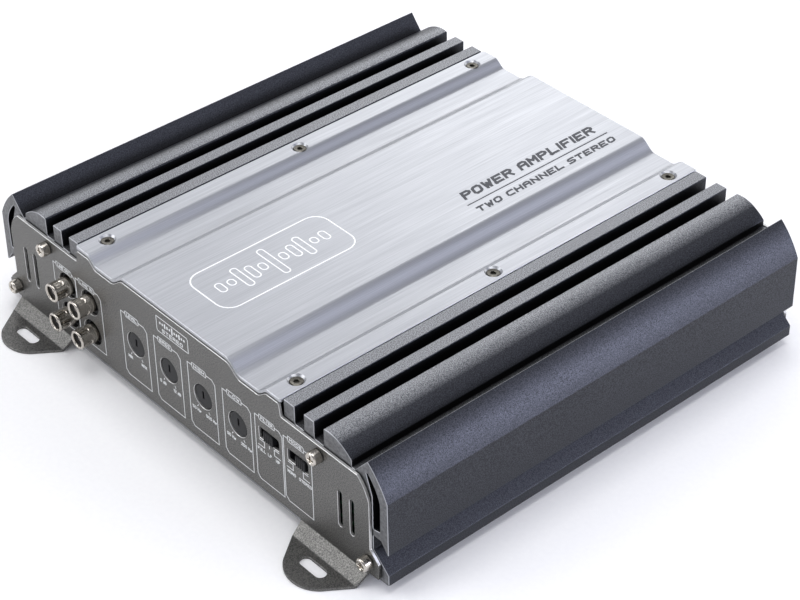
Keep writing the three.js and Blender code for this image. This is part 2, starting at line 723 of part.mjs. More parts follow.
POT_X.forEach((x, i) => {
  mesh(`pot_case_${i + 1}`, potCase(), BLACK_PLASTIC, frontEnd, [x, 0, POT_Z]);
  mesh(`pot_cap_${i + 1}`, potCap(), BLACK_PLASTIC, frontEnd, [x, 0, POT_Z]);
});

// ---- Slide switches ---------------------------------------------------------------------------------

function switchCase() {
  const { width, depth, height } = SWITCH_CASE;
  const front = BEHIND_PANEL;
  const body = box([-width / 2, width / 2], [front, front + depth], [-height / 2, height / 2]);
  const foot = box([-width / 2, width / 2], [front + depth - 2, front + depth], [ON_BOARD - SWITCH_Z, 0]);
  const pocketWidth = SWITCH_WINDOW.width;
  const pocketHeight = SWITCH_WINDOW.height;
  const pocket = box([-pocketWidth / 2, pocketWidth / 2], [front - 1, front + SWITCH_POCKET],
    [-pocketHeight / 2, pocketHeight / 2]);
  return cut(join(body, foot), pocket);
}

function switchKnob() {
  const half = SWITCH_KNOB_WIDTH / 2;
  const tall = SWITCH_WINDOW.height / 2 - GAP;
  const back = BEHIND_PANEL + SWITCH_POCKET - GAP;
  return box([-half, half], [-SWITCH_PROUD, back], [-tall, tall]);
}

mesh('filter_switch_case', switchCase(), BLACK_PLASTIC, frontEnd, [FILTER_SWITCH_X, 0, SWITCH_Z]);
mesh('mode_switch_case', switchCase(), BLACK_PLASTIC, frontEnd, [MODE_SWITCH_X, 0, SWITCH_Z]);
mesh('filter_switch_knob', switchKnob(), BLACK_PLASTIC, frontEnd, [FILTER_SWITCH_X, 0, SWITCH_Z]);
mesh('mode_switch_knob', switchKnob(), BLACK_PLASTIC, frontEnd,
  [MODE_SWITCH_X + MODE_TRAVEL / 2, 0, SWITCH_Z]);

// ---- Phono sockets ----------------------------------------------------------------------------------

// One moulding for four sockets: a block behind the panel with an insulating core in each sleeve.
function socketBlock() {
  const front = BEHIND_PANEL;
  const margin = SLEEVE_RADIUS + 4.5;
  const block = box([SOCKET_X[0] - margin, SOCKET_X[1] + margin], [front, front + SOCKET_BLOCK_DEPTH],
    [ON_BOARD, SOCKET_Z[1] + SLEEVE_RADIUS + 3.5]);
  const coreRadius = SLEEVE_RADIUS - SLEEVE_WALL - GAP;
  const places = SOCKET_X.flatMap((x) => SOCKET_Z.map((z) => [x, z]));
  const grooves = places.map((place) =>
    rodAlongY(SLEEVE_RADIUS + GAP, [front - 1, front + SLEEVE_SEAT + GAP], place, 18));
  const cores = places.map((place) =>
    rodAlongY(coreRadius, [CORE_RECESS - SLEEVE_PROUD, front + SLEEVE_SEAT + 1], place, 16));
  const bores = places.map((place) =>
    rodAlongY(PIN_RADIUS, [-SLEEVE_PROUD - 1, front + 4], place, 12));
  return cut(join(cut(block, ...grooves), ...cores), ...bores);
}

// Metal sleeve with a rolled mouth, a closed profile turned about its axis.
function sleeve() {
  const inner = SLEEVE_RADIUS - SLEEVE_WALL;
  const back = BEHIND_PANEL + SLEEVE_SEAT;
  const profile = [
    [inner, back],
    [SLEEVE_RADIUS - 0.12, back],
    [SLEEVE_RADIUS - 0.12, 0.8 - SLEEVE_PROUD],
    [SLEEVE_RADIUS, 0.5 - SLEEVE_PROUD],
    [SLEEVE_RADIUS - 0.1, 0.1 - SLEEVE_PROUD],
    [SLEEVE_RADIUS - 0.35, -SLEEVE_PROUD],
    [inner + 0.05, 0.2 - SLEEVE_PROUD],
    [inner, 0.6 - SLEEVE_PROUD],
    [inner, back],
  ];
  return turnedAboutY(profile, 18);
}

mesh('phono_socket_block', socketBlock(), BLACK_PLASTIC, frontEnd);
SOCKET_X.forEach((x, column) => {
  SOCKET_Z.forEach((z, row) => {
    mesh(`phono_sleeve_${2 * column + row + 1}`, sleeve(), NICKEL, frontEnd, [x, 0, z]);
  });
});

// ---- Rear terminals -----------------------------------------------------------------------------------

function blockWidth({ ways, pitch, barrier }) {
  return ways * pitch + barrier;
}

function wayPlaces({ x, ways, pitch }) {
  return Array.from({ length: ways }, (_, i) => x + (i - (ways - 1) / 2) * pitch);
}

// Barrier strip: a base through the panel, a wall on each side of every way, a bore for each screw.
function terminalBlock(block) {
  const { x, ways, pitch, barrier } = block;
  const half = blockWidth(block) / 2;
  const base = box([x - half, x + half], [-TERMINAL_FACE, TERMINAL_DEPTH], TERMINAL_Z);
  const foot = box([x - half, x + half], [BEHIND_PANEL + 3, TERMINAL_DEPTH], [ON_BOARD, TERMINAL_Z[0] + 1]);
  const barriers = Array.from({ length: ways + 1 }, (_, i) => {
    const middle = x + (i - ways / 2) * pitch;
    return box([middle - barrier / 2, middle + barrier / 2], [-TERMINAL_PROUD, 0], TERMINAL_Z);
  });
  const bores = wayPlaces(block).map((wayX) =>
    rodAlongY(TERMINAL_SHANK_RADIUS + GAP, [-TERMINAL_FACE - 1, TERMINAL_SHANK_LENGTH + 1],
      [wayX, TERMINAL_SCREW_Z], 12));
  return cut(join(base, foot, ...barriers), ...bores);
}

function terminalScrew() {
  const { radius, height } = TERMINAL_HEAD;
  const seat = -TERMINAL_FACE - GAP;
  const profile = [
    [0, seat - height],
    [radius * 0.75, seat - height],
    [radius, seat - height + 0.8],
    [radius, seat],
    [TERMINAL_SHANK_RADIUS, seat],
    [TERMINAL_SHANK_RADIUS, TERMINAL_SHANK_LENGTH],
    [0, TERMINAL_SHANK_LENGTH + 0.5],
  ];
  const slotDepth = seat - height + 1.3;
  const across = box([-2, 2], [seat - height - 1, slotDepth], [-0.45, 0.45]);
  const upright = box([-0.45, 0.45], [seat - height - 1, slotDepth], [-2, 2]);
  return cut(turnedAboutY(profile, 12), across, upright);
}

for (const [name, block] of Object.entries(TERMINAL_BLOCKS)) {
  mesh(`${name}_terminal_block`, terminalBlock(block), BLACK_PLASTIC, rearEnd);
  wayPlaces(block).forEach((x, i) => {
    mesh(`${name}_terminal_screw_${i + 1}`, terminalScrew(), NICKEL, rearEnd, [x, 0, TERMINAL_SCREW_Z]);
  });
}

// ---- Fuses and status light ---------------------------------------------------------------------------

function fuseBladePlaces() {
  return [-BLADE.offset, BLADE.offset];
}

function fuseHolder() {
  const { width, height, depth } = FUSE_HOLDER;
  const block = box([-width / 2, width / 2], [-TERMINAL_FACE, depth],
    [FUSE_Z - height / 2, FUSE_Z + height / 2]);
  const foot = box([-width / 2, width / 2], [BEHIND_PANEL + 3, depth], [ON_BOARD, FUSE_Z]);
  const slots = FUSE_X.flatMap((x) => fuseBladePlaces().map((z) => box(
    [x - BLADE.thick / 2 - GAP, x + BLADE.thick / 2 + GAP],
    [-TERMINAL_FACE - 1, BLADE.length + GAP],
    [FUSE_Z + z - BLADE.wide / 2 - GAP, FUSE_Z + z + BLADE.wide / 2 + GAP],
  )));
  return cut(join(block, foot), ...slots);
}

// Blade fuse: a thin plastic body with a waist, and two blades that plug into the holder.
function bladeFuse() {
  const { thick, wide, proud } = FUSE;
  const seat = -TERMINAL_FACE - GAP;
  const head = box([-thick / 2, thick / 2], [-proud, -proud + 3], [-wide / 2, wide / 2]);
  const body = box([-thick / 2 + 0.6, thick / 2 - 0.6], [-proud + 1, seat], [-wide / 2 + 1, wide / 2 - 1]);
  const blades = fuseBladePlaces().map((z) => box(
    [-BLADE.thick / 2, BLADE.thick / 2], [seat - 1, BLADE.length], [z - BLADE.wide / 2, z + BLADE.wide / 2]));
  return join(head, body, ...blades);
}

mesh('fuse_holder', fuseHolder(), BLACK_PLASTIC, rearEnd);
FUSE_X.forEach((x, i) => {
  mesh(`blade_fuse_${i + 1}`, bladeFuse(), AMBER_PLASTIC, rearEnd, [x, 0, FUSE_Z]);
});

// Round lens in the panel, on two legs that go down to the board behind it.
function statusLight() {
  const profile = [
    [0, -1.2], [LED_RADIUS * 0.6, -0.9], [LED_RADIUS, 0.2], [LED_RADIUS, SHEET + GAP],
    [LED_RADIUS + 0.4, SHEET + GAP], [LED_RADIUS + 0.4, SHEET + 1.4], [0, SHEET + 1.4],
  ];
  const legs = [-1.27, 1.27].map((x) => join(
    box([x - 0.3, x + 0.3], [SHEET + 1, SHEET + 4], [-0.3, 0.3]),
    box([x - 0.3, x + 0.3], [SHEET + 3.4, SHEET + 4], [ON_BOARD - LED_Z, 0.3])));
  return join(turnedAboutY(profile, 16), ...legs);
}

mesh('status_light', statusLight(), CLEAR_GREEN, rearEnd, [LED_X, 0, LED_Z]);

const group = new THREE.Group();
group.add(amplifier);

export default group;
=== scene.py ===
"""Two-channel car amplifier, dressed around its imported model.

Sizes are in millimetres and angles in degrees, unless a name says otherwise. X runs along the front
panel, which faces -Y, and Z is up. The sections follow the amplifier as it is put together.
"""
import math
import bmesh
import bpy
import numpy as np
from mathutils import Matrix, Vector
from mathutils.geometry import delaunay_2d_cdt, tessellate_polygon


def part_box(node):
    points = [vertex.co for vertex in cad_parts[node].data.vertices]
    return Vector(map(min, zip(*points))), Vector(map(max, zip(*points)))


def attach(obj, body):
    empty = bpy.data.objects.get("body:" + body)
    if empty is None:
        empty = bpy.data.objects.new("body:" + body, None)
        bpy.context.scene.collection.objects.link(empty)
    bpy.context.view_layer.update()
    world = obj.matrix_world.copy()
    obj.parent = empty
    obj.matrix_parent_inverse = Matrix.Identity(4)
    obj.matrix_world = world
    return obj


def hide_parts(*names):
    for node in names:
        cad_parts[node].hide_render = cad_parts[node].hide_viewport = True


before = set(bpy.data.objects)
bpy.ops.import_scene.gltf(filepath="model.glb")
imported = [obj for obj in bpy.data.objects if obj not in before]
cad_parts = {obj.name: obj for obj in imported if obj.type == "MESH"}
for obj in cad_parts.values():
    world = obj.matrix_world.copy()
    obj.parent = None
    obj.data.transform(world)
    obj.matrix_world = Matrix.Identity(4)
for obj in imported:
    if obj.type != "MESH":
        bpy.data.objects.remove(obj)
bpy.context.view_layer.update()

# ---- Heatsink extrusion --------------------------------------------------------------------------
# One length of aluminium extrusion: the deck with its cooling fins, a wall down each side and a
# curved shell that hangs outside the wall. It is cut to length, blasted and coated dark anthracite.

MM = 0.001
GAP = 0.3                       # between pieces that touch
SHARP_EDGE = 20                 # faces that meet at more than this are not shaded as one


def corners(node):
    """Lowest and highest corner of a CAD node, in millimetres."""
    low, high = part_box(node)
    return np.array(low) / MM, np.array(high) / MM


def middle(node):
    """Middle of a CAD node's box, in millimetres."""
    return np.mean(corners(node), axis=0)


def unit(rows):
    """Each row divided by its own length."""
    return rows / np.linalg.norm(rows, axis=-1, keepdims=True)


def rounded(outline, steps=4):
    """Closed outline of corners (u, v, r): an arc of radius r leaves both sides of its corner at the
    distance r / tan(half the corner's angle), and a corner with r = 0 stays sharp."""
    outline = np.array(outline, float)
    places, radii = outline[:, :2], outline[:, 2]
    back = unit(np.roll(places, 1, 0) - places)
    ahead = unit(np.roll(places, -1, 0) - places)
    half = np.arccos(np.clip(np.sum(back * ahead, 1), -1, 1)) / 2
    turn = np.linspace(0, 1, steps + 1)[:, None]
    done = []
    for place, radius, a, b, angle in zip(places, radii, back, ahead, half):
        if radius == 0:
            done.append(place[None])
            continue
        centre = place + unit(a + b) * radius / math.sin(angle)
        start = place + a * radius / math.tan(angle) - centre
        end = place + b * radius / math.tan(angle) - centre
        sweep = math.pi - 2 * angle
        swept = np.sin((1 - turn) * sweep) * start + np.sin(turn * sweep) * end
        done.append(centre + swept / math.sin(sweep))
    return np.concatenate(done)


def bow(start, pull, end, steps=14):
    """Corners of the parabola from start to end that is drawn towards pull: the weights of the three
    are (1 - t)^2, 2t(1 - t) and t^2."""
    t = np.linspace(0, 1, steps + 1)[:, None]
    places = (1 - t) ** 2 * start + 2 * t * (1 - t) * np.array(pull) + t ** 2 * np.array(end)
    return [(u, v, 0) for u, v in places]


def mirrored(half):
    """The whole of an outline from its right half, which runs from the middle line outwards and back
    to it, clockwise. The whole runs anticlockwise."""
    half = np.asarray(half)
    left = half * (-1, 1)
    return np.concatenate([left, half[::-1]])


def drawn_in(loop, by):
    """A closed outline with each side moved to its left by `by`: a corner moves along the sum of its
    two sides' normals over one plus their cosine. On an anticlockwise outline that is inwards."""
    side = unit(np.roll(loop, -1, 0) - loop)
    normal = side[:, ::-1] * (-1, 1)
    before = np.roll(normal, 1, 0)
    meet = 1 + np.sum(normal * before, 1, keepdims=True)
    return loop + by * (normal + before) / meet


def bar(loops, low, high, rim):
    """Points (u, v, w) and faces of a straight bar: outlines in u and v, the first anticlockwise and the
    holes clockwise, carried along w from low to high. Each end is drawn in by rim over the last rim of
    its length, which leaves a 45 degree chamfer, and filled with triangles."""
    stations = [(low, rim), (low + rim, 0), (high - rim, 0), (high, rim)]
    points, faces, ends = [], [], ([], [])
    first = 0
    for loop in loops:
        count = len(loop)
        points += [np.column_stack([drawn_in(loop, by), np.full(count, w)]) for w, by in stations]
        here = np.arange(count)
        following = np.roll(here, -1)
        for row in first + count * np.arange(len(stations) - 1):
            quads = [row + here, row + following, row + count + following, row + count + here]
            faces += np.column_stack(quads).tolist()
        for end, row in zip(ends, (first, first + count * (len(stations) - 1))):
            end.append(row + here)
        first += count * len(stations)
    points = np.concatenate(points)
    for end in ends:
        numbers = np.concatenate(end)
        outlines = [[Vector((u, v, 0)) for u, v in points[rows, :2]] for rows in end]
        faces += [[int(numbers[i]) for i in triangle] for triangle in tessellate_polygon(outlines)]
    return points, faces


def piece(name, solid, coating):
    """Makes a closed mesh object from points in millimetres and faces, turned outwards."""
    points, faces = solid
    mesh = bpy.data.meshes.new(name)
    mesh.from_pydata((points * MM).tolist(), [], faces)
    work = bmesh.new()
    work.from_mesh(mesh)
    bmesh.ops.recalc_face_normals(work, faces=work.faces)
    work.to_mesh(mesh)
    work.free()
    mesh.shade_smooth()
    mesh.set_sharp_from_angle(angle=math.radians(SHARP_EDGE))
    mesh.materials.append(coating)
    made = bpy.data.objects.new(name, mesh)
    bpy.context.scene.collection.objects.link(made)
    shading = made.modifiers.new("even_shading", "WEIGHTED_NORMAL")
    shading.keep_sharp = True
    return made


def stand_for(made, body, slot, *nodes):
    """The piece rides on a body and stands for the named CAD nodes, which it hides; slot is not used."""
    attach(made, body)
    if nodes:
        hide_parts(*nodes)


def linear(colour):
    """An sRGB hex colour as linear red, green, blue and alpha."""
    parts = np.array([int(colour[i:i + 2], 16) for i in (1, 3, 5)]) / 255
    light = np.where(parts <= 0.04045, parts / 12.92, ((parts + 0.055) / 1.055) ** 2.4)
    return (*light.tolist(), 1.0)


def add(tree, kind, inputs=None, output=None, **settings):
    """Adds a shader node and returns one of its outputs, the first live one unless output names another.
    inputs gives its sockets a value or the socket that feeds them, and settings are its own fields."""
    made = tree.nodes.new("ShaderNode" + kind)
    for field, value in settings.items():
        setattr(made, field, value)
    for socket, value in (inputs or {}).items():
        if isinstance(value, bpy.types.NodeSocket):
            tree.links.new(value, made.inputs[socket])
        else:
            made.inputs[socket].default_value = value
    if output:
        return made.outputs[output]
    return next((socket for socket in made.outputs if socket.enabled), None)


def finish(name):
    """A new material with an empty node tree. Returns it, its tree and its object coordinates."""
    made = bpy.data.materials.new(name)
    made.use_nodes = True
    made.node_tree.nodes.clear()
    return made, made.node_tree, add(made.node_tree, "TexCoord", output="Object")


# Blasted aluminium under a dark satin coat. The grit shows as a fine salt and pepper speckle; the real
# grain is finer and is drawn 0.4 mm wide so that it shows. Faces that look straight up are painted
# lighter and upright faces darker, as painted light and shade, and painted shade darkens the floors
# between the fins to near black. The sawn ends are paler and mottled, and the saw's edge at each end
# shines through the coat.
anthracite, tree, place = finish("anthracite_coated_blasted_aluminium")
grit = add(tree, "TexNoise", {"Vector": place, "Scale": 1 / (0.4 * MM), "Detail": 2})
speckle = add(tree, "MapRange", {"Value": grit, "From Min": 0.36, "From Max": 0.68})
cloud = add(tree, "TexNoise", {"Vector": place, "Scale": 1 / (30 * MM)})
drift = add(tree, "MapRange", {"Value": cloud, "To Min": 0.85, "To Max": 1.1})
mottle = add(tree, "Math", {0: speckle, 1: drift}, operation="MULTIPLY", use_clamp=True)
# Painted light and shade: upright faces take the darker colours and faces that look straight up the paler
# ones, standing in for how the light falls on them.
painted_shade_upright = add(tree, "Mix", {0: mottle, 6: linear("#27282c"), 7: linear("#42444a")}, data_type="RGBA")
level = add(tree, "Mix", {0: mottle, 6: linear("#55565a"), 7: linear("#a6a8ab")}, data_type="RGBA")
facing = add(tree, "SeparateXYZ", {"Vector": add(tree, "TexCoord", output="Normal")})
upward = add(tree, "MapRange", {"Value": facing.node.outputs["Z"], "From Min": 0.9, "From Max": 1})
painted_light_by_facing = add(tree, "Mix", {0: upward, 6: painted_shade_upright, 7: level}, data_type="RGBA")
# Painted shade: ambient occlusion darkens the floors between the fins and other hollows towards near black.
reach = add(tree, "AmbientOcclusion", {"Distance": 9 * MM}, output="AO", samples=8, only_local=True)
painted_crevice_shade = add(tree, "MapRange", {"Value": reach, "From Min": 0.35, "From Max": 0.85})
coated = add(tree, "Mix", {0: painted_crevice_shade, 6: linear("#0d0d0f"), 7: painted_light_by_facing}, data_type="RGBA")
stain = add(tree, "TexNoise", {"Vector": place, "Scale": 1 / (1.4 * MM), "Detail": 3})
sawn = add(tree, "Mix", {0: stain, 6: linear("#2f3033"), 7: linear("#8f9092")}, data_type="RGBA")
endways = add(tree, "Math", {0: facing.node.outputs["Y"]}, operation="ABSOLUTE")
at_saw = add(tree, "MapRange", {"Value": endways, "From Min": 0.3, "From Max": 0.4})
on_face = add(tree, "MapRange", {"Value": endways, "From Min": 0.85, "From Max": 0.95})
ends = add(tree, "Mix", {0: on_face, 6: linear("#a9abaf"), 7: sawn}, data_type="RGBA")
colour = add(tree, "Mix", {0: at_saw, 6: coated, 7: ends}, data_type="RGBA")
rough = add(tree, "MapRange", {"Value": speckle, "To Min": 0.5, "To Max": 0.36})
relief = add(tree, "Bump", {"Height": speckle, "Distance": 0.012 * MM, "Strength": 0.5})
shader = add(tree, "BsdfPrincipled", {"Base Color": colour, "Metallic": 0.8, "Roughness": rough,
                                      "Normal": relief})
add(tree, "OutputMaterial", {"Surface": shader})

(_, _, BASE), (SIDE, END, _) = corners("heatsink_chassis")
HEIGHT = 52.2                   # of the fin tops over the extrusion's underside
FIN_HEIGHT = 7.9
DECK = 4                        # thickness of the deck that carries the fins
DECK_TOP = HEIGHT - FIN_HEIGHT
DECK_UNDER = DECK_TOP - DECK
FIN_ZONE = 56.2                 # side to the first fin
FIN_WIDTHS = [6, 5.6]
BROAD_FIN = 15
CHANNEL = 5.3                   # between two fins
WALL_INSET = 8.15               # side to the outer face of the wall
WALL = 3.65
WALL_OUT = SIDE - WALL_INSET
WALL_IN = WALL_OUT - WALL
FOOT_WIDTH = 16                 # of the solid foot under each wall
LEDGE = 5                       # height of the foot's inner ledge, which carries the board
GROOVE = (2, 3.6)               # lowest and highest line of the groove for the bottom cover's edge
GROOVE_DEPTH = 3.2
BOSS = (35.5, 40, 3.4)          # inset from the side, height and radius of the panel screws' rib
PLATE_HALF = corners("top_plate")[1][0]
PLATE_SCREW_X = abs(middle("plate_screw_1")[0])
RAIL = 6                        # width of the rail that the plate's screws go into
SHOULDER_Z = corners("plate_screw_1")[1][2] + GAP - BASE
PLATE = 1.5
RAIL_TOP = SHOULDER_Z - PLATE - GAP
SAW_RIM = 0.22                  # worn off the sawn ends' edges


def extrusion_outline():
    """Right half of the section, from the rail over the fins and round the shell to the boss."""
    fins = []
    x = SIDE - FIN_ZONE
    for width in FIN_WIDTHS:
        fins += [(x, DECK_TOP, 0.8), (x, HEIGHT, 0.35), (x + width, HEIGHT, 0.35), (x + width, DECK_TOP, 0.8)]
        x += width + CHANNEL
    far = x + BROAD_FIN
    crest = bow((x + 0.4, HEIGHT + 0.2), (x + BROAD_FIN * 0.5, HEIGHT + 1.6), (far - 0.3, HEIGHT - 4.6))
    broad = [(x, DECK_TOP, 0.8), (x, HEIGHT - 0.2, 0.2), *crest, (far, HEIGHT - 5, 0.2), (far, DECK_TOP, 0.4)]
    cheek = bow((SIDE - 10.15, HEIGHT - 0.1), (SIDE - 4.4, HEIGHT - 5.05), (SIDE - 0.25, HEIGHT - 13.4))
    shell = [(SIDE - 17.2, DECK_TOP, 0.4), (SIDE - 10.4, HEIGHT + 0.1, 0.25), *cheek[1:],
             (SIDE, 14.2, 0.3), (SIDE - 3.9, 19.4, 0.4), (WALL_OUT, 19.4, 0.5)]
    foot_in = SIDE - FOOT_WIDTH
    groove_in = foot_in + GROOVE_DEPTH
    groove = [(foot_in, GROOVE[0], 0.2), (groove_in, GROOVE[0], 0.2),
              (groove_in, GROOVE[1], 0.2), (foot_in, GROOVE[1], 0.2)]
    foot = [(WALL_OUT, 12.7, 0.5), (SIDE, 5, 0.5), (SIDE, 0, 0.5), (foot_in, 0, 0.3), *groove,
            (foot_in, LEDGE, 0.3), (WALL_IN, LEDGE, 0.5)]
    boss_x, boss_z, boss = SIDE - BOSS[0], *BOSS[1:]
    angles = np.radians(np.linspace(0, -180, 13))
    rib = [(boss_x + boss * math.cos(a), boss_z + boss * math.sin(a), 0) for a in angles]
    under = [(WALL_IN, DECK_UNDER, 1.5), (boss_x + boss, DECK_UNDER, 0), *rib, (boss_x - boss, DECK_UNDER, 0)]
    inner, outer = PLATE_SCREW_X - RAIL / 2, PLATE_SCREW_X + RAIL / 2
    rail = [(inner, DECK_TOP, 0.3), (inner, RAIL_TOP, 0.3), (outer, RAIL_TOP, 0.3), (outer, DECK_TOP, 0.3)]
    closing = [(0, DECK_UNDER, 0), (0, DECK_TOP, 0)]
    whole = rounded(rail + fins + broad + shell + foot + under + closing)
    return mirrored(whole[whole[:, 0] > 0])


def shell_hollow():
    """Outline of the space between wall and shell on the right side, clockwise as a hole is."""
    cheek = bow((SIDE - 4.3, HEIGHT - 16.7), (SIDE - 4.8, HEIGHT - 11.2), (SIDE - 10.4, HEIGHT - 5.3))
    ends = [(SIDE - 11.3, HEIGHT - 5.8, 0.2), (WALL_OUT, HEIGHT - 14.7, 1), (WALL_OUT, 22.4, 0.5),
            (SIDE - 4.4, 23.2, 0.5)]
    return rounded(cheek + ends)[::-1]


def along_y(solid):
    """Turns a bar drawn in X and Z and carried along w so that w lies along Y."""
    points, faces = solid
    return points[:, [0, 2, 1]], faces


def moved(solid, shift):
    """A solid moved by (x, y, z)."""
    points, faces = solid
    return points + np.array(shift), faces


hollow = shell_hollow()
section = [extrusion_outline(), hollow, (hollow * (-1, 1))[::-1]]
cut_length = along_y(bar(section, -END, END, SAW_RIM))
extrusion = piece("heatsink_extrusion", moved(cut_length, (0, 0, BASE)), anthracite)
stand_for(extrusion, "amplifier", "anthracite_coat", "heatsink_chassis")

# ---- Circuit board and what stands on it ---------------------------------------------------------
# A glass-fibre board on the foot ledges under the deck. It carries the wound parts, the capacitors
# and the power transistors, whose tabs are held to the side walls by spring angles.

# Solder mask over copper: dark glossy green where the tracks lie under it, paler between them.
mask, tree, place = finish("solder_masked_glass_epoxy")
tracks = add(tree, "TexBrick", {"Vector": place, "Scale": 1 / (12 * MM), "Mortar Size": 0.05,
                                "Mortar Smooth": 0.2, "Brick Width": 1.7, "Row Height": 0.35}, output="Fac")
weave = add(tree, "TexNoise", {"Vector": place, "Scale": 1 / (0.8 * MM)})
share = add(tree, "Math", {0: tracks, 1: weave}, operation="MULTIPLY")
colour = add(tree, "Mix", {0: share, 6: linear("#143d29"), 7: linear("#3f8058")}, data_type="RGBA")
relief = add(tree, "Bump", {"Height": tracks, "Distance": 0.035 * MM})
shader = add(tree, "BsdfPrincipled", {"Base Color": colour, "Roughness": 0.32, "Coat Weight": 0.3,
                                      "Normal": relief})
add(tree, "OutputMaterial", {"Surface": shader})

# Enamelled copper wire: orange brown, glossy, a little darker between the turns.
enamel, tree, place = finish("enamelled_copper_wire")
tone = add(tree, "TexNoise", {"Vector": place, "Scale": 1 / (1.6 * MM)})
colour = add(tree, "Mix", {0: tone, 6: linear("#7e4019"), 7: linear("#c98544")}, data_type="RGBA")
rough = add(tree, "MapRange", {"Value": tone, "To Min": 0.36, "To Max": 0.22})
shader = add(tree, "BsdfPrincipled", {"Base Color": colour, "Metallic": 0.85, "Roughness": rough,
                                      "Coat Weight": 0.5, "Coat Roughness": 0.15})
add(tree, "OutputMaterial", {"Surface": shader})

# Heat-shrunk PVC sleeve on the capacitor cans: near black, glossy, with slight waves.
sleeving, tree, place = finish("shrunk_pvc_sleeve")
wave = add(tree, "TexNoise", {"Vector": place, "Scale": 1 / (6 * MM)})
colour = add(tree, "Mix", {0: wave, 6: linear("#15171b"), 7: linear("#2a2c34")}, data_type="RGBA")
rough = add(tree, "MapRange", {"Value": wave, "To Min": 0.26, "To Max": 0.44})
relief = add(tree, "Bump", {"Height": wave, "Distance": 0.06 * MM})
shader = add(tree, "BsdfPrincipled", {"Base Color": colour, "Roughness": rough, "Coat Weight": 0.2,
                                      "Normal": relief})
add(tree, "OutputMaterial", {"Surface": shader})

# Nylon mouldings: black, satin, with a fine even grain from the mould.
moulding, tree, place = finish("moulded_black_nylon")
skin = add(tree, "TexNoise", {"Vector": place, "Scale": 1 / (0.35 * MM)})
colour = add(tree, "Mix", {0: skin, 6: linear("#0b0b0d"), 7: linear("#1b1c1f")}, data_type="RGBA")
rough = add(tree, "MapRange", {"Value": skin, "To Min": 0.55, "To Max": 0.35})
relief = add(tree, "Bump", {"Height": skin, "Distance": 0.015 * MM, "Strength": 0.5})
shader = add(tree, "BsdfPrincipled", {"Base Color": colour, "Roughness": rough, "IOR": 1.53, "Normal": relief,
                                      "Specular IOR Level": 0.25})
add(tree, "OutputMaterial", {"Surface": shader})

# Rolled spring steel: mid grey with faint lines along the strip.
spring, tree, place = finish("rolled_spring_steel")
stretch = add(tree, "Mapping", {"Vector": place, "Scale": (1 / (0.4 * MM), 1 / (30 * MM), 1 / (0.4 * MM))})
lines = add(tree, "TexNoise", {"Vector": stretch, "Scale": 1})
colour = add(tree, "Mix", {0: lines, 6: linear("#63666a"), 7: linear("#95989c")}, data_type="RGBA")
rough = add(tree, "MapRange", {"Value": lines, "To Min": 0.26, "To Max": 0.44})
shader = add(tree, "BsdfPrincipled", {"Base Color": colour, "Metallic": 1, "Roughness": rough})
add(tree, "OutputMaterial", {"Surface": shader})


def coat(node, material):
    """Gives a CAD node that stays its material."""
    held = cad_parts[node]
    held.data.materials.clear()
    held.data.materials.append(material)


coat("circuit_board", mask)
for number in (1, 2):
    coat(f"reservoir_capacitor_{number}", sleeving)
for side in ("right", "left"):
    coat(f"transistor_clip_{side}", spring)
    for number in (1, 2):
        coat(f"power_transistor_{side}_{number}", moulding)


BORE_SHARE = 0.46               # of a wound ring's outer radius


def wound_ring(node, wires):
    """A ring wound with wire: a rounded square section turned about the upright axis. The section is a
    superellipse of power 4, and each wire raises it by half its width as the root of 1 - s^2 across."""
    low, high = corners(node)
    centre = (low + high) / 2
    outer, tall = (high[0] - low[0]) / 2, (high[2] - low[2]) / 2
    inner = outer * BORE_SHARE
    turn = np.linspace(0, 2 * math.pi, wires * 4, endpoint=False)[:, None]
    round_section = np.linspace(0, 2 * math.pi, 40, endpoint=False)[None, :]
    c, s = np.cos(round_section), np.sin(round_section)
    reach = (np.abs(c) ** 4 + np.abs(s) ** 4) ** -0.25
    wire = 2 * math.pi * (outer + inner) / 2 / wires
    across = (turn * wires / math.pi) % 2 - 1
    lift = 1 - wire / 2 / tall * (1 - np.sqrt(1 - np.clip(across, -0.97, 0.97) ** 2))
    out = (outer + inner) / 2 + (outer - inner) / 2 * c * reach * lift
    up = tall * s * reach * lift
    points = np.stack([centre[0] + out * np.cos(turn), centre[1] + out * np.sin(turn), centre[2] + up], -1)
    rows, columns = points.shape[:2]
    i, j = np.meshgrid(np.arange(rows), np.arange(columns), indexing="ij")
    following, beside = (i + 1) % rows, (j + 1) % columns
    this_row, next_row = i * columns, following * columns
    quads = np.stack([this_row + j, next_row + j, next_row + beside, this_row + beside], -1)
    return points.reshape(-1, 3), quads.reshape(-1, 4).tolist()


for node, wires in (("transformer_toroid", 70), ("output_choke", 36)):
    winding = piece(node + "_winding", wound_ring(node, wires), enamel)
    stand_for(winding, "amplifier", "copper_winding", node)

# ---- Bottom cover --------------------------------------------------------------------------------
# A zinc-plated steel sheet whose edges step up into the grooves of the extrusion's feet. The end
# panels trap it. Zinc plate gives soft grey clouds with a faint spangle.

zinc, tree, place = finish("zinc_plated_steel_sheet")
spangle = add(tree, "TexVoronoi", {"Vector": place, "Scale": 1 / (7 * MM)})
cloud = add(tree, "TexNoise", {"Vector": place, "Scale": 1 / (25 * MM)})
mixed = add(tree, "Math", {0: spangle, 1: cloud}, operation="MULTIPLY")
colour = add(tree, "Mix", {0: mixed, 6: linear("#808285"), 7: linear("#b4b6b8")}, data_type="RGBA")
rough = add(tree, "MapRange", {"Value": mixed, "To Min": 0.34, "To Max": 0.5})
shader = add(tree, "BsdfPrincipled", {"Base Color": colour, "Metallic": 1, "Roughness": rough})
add(tree, "OutputMaterial", {"Surface": shader})
coat("bottom_cover", zinc)

# ---- End panels ----------------------------------------------------------------------------------
# Steel sheet, punched, with two ears folded out at the foot that screw the amplifier down. Both
# panels are satin zinc plated. Each is made flat as a blank, scored at its folds and then bent.

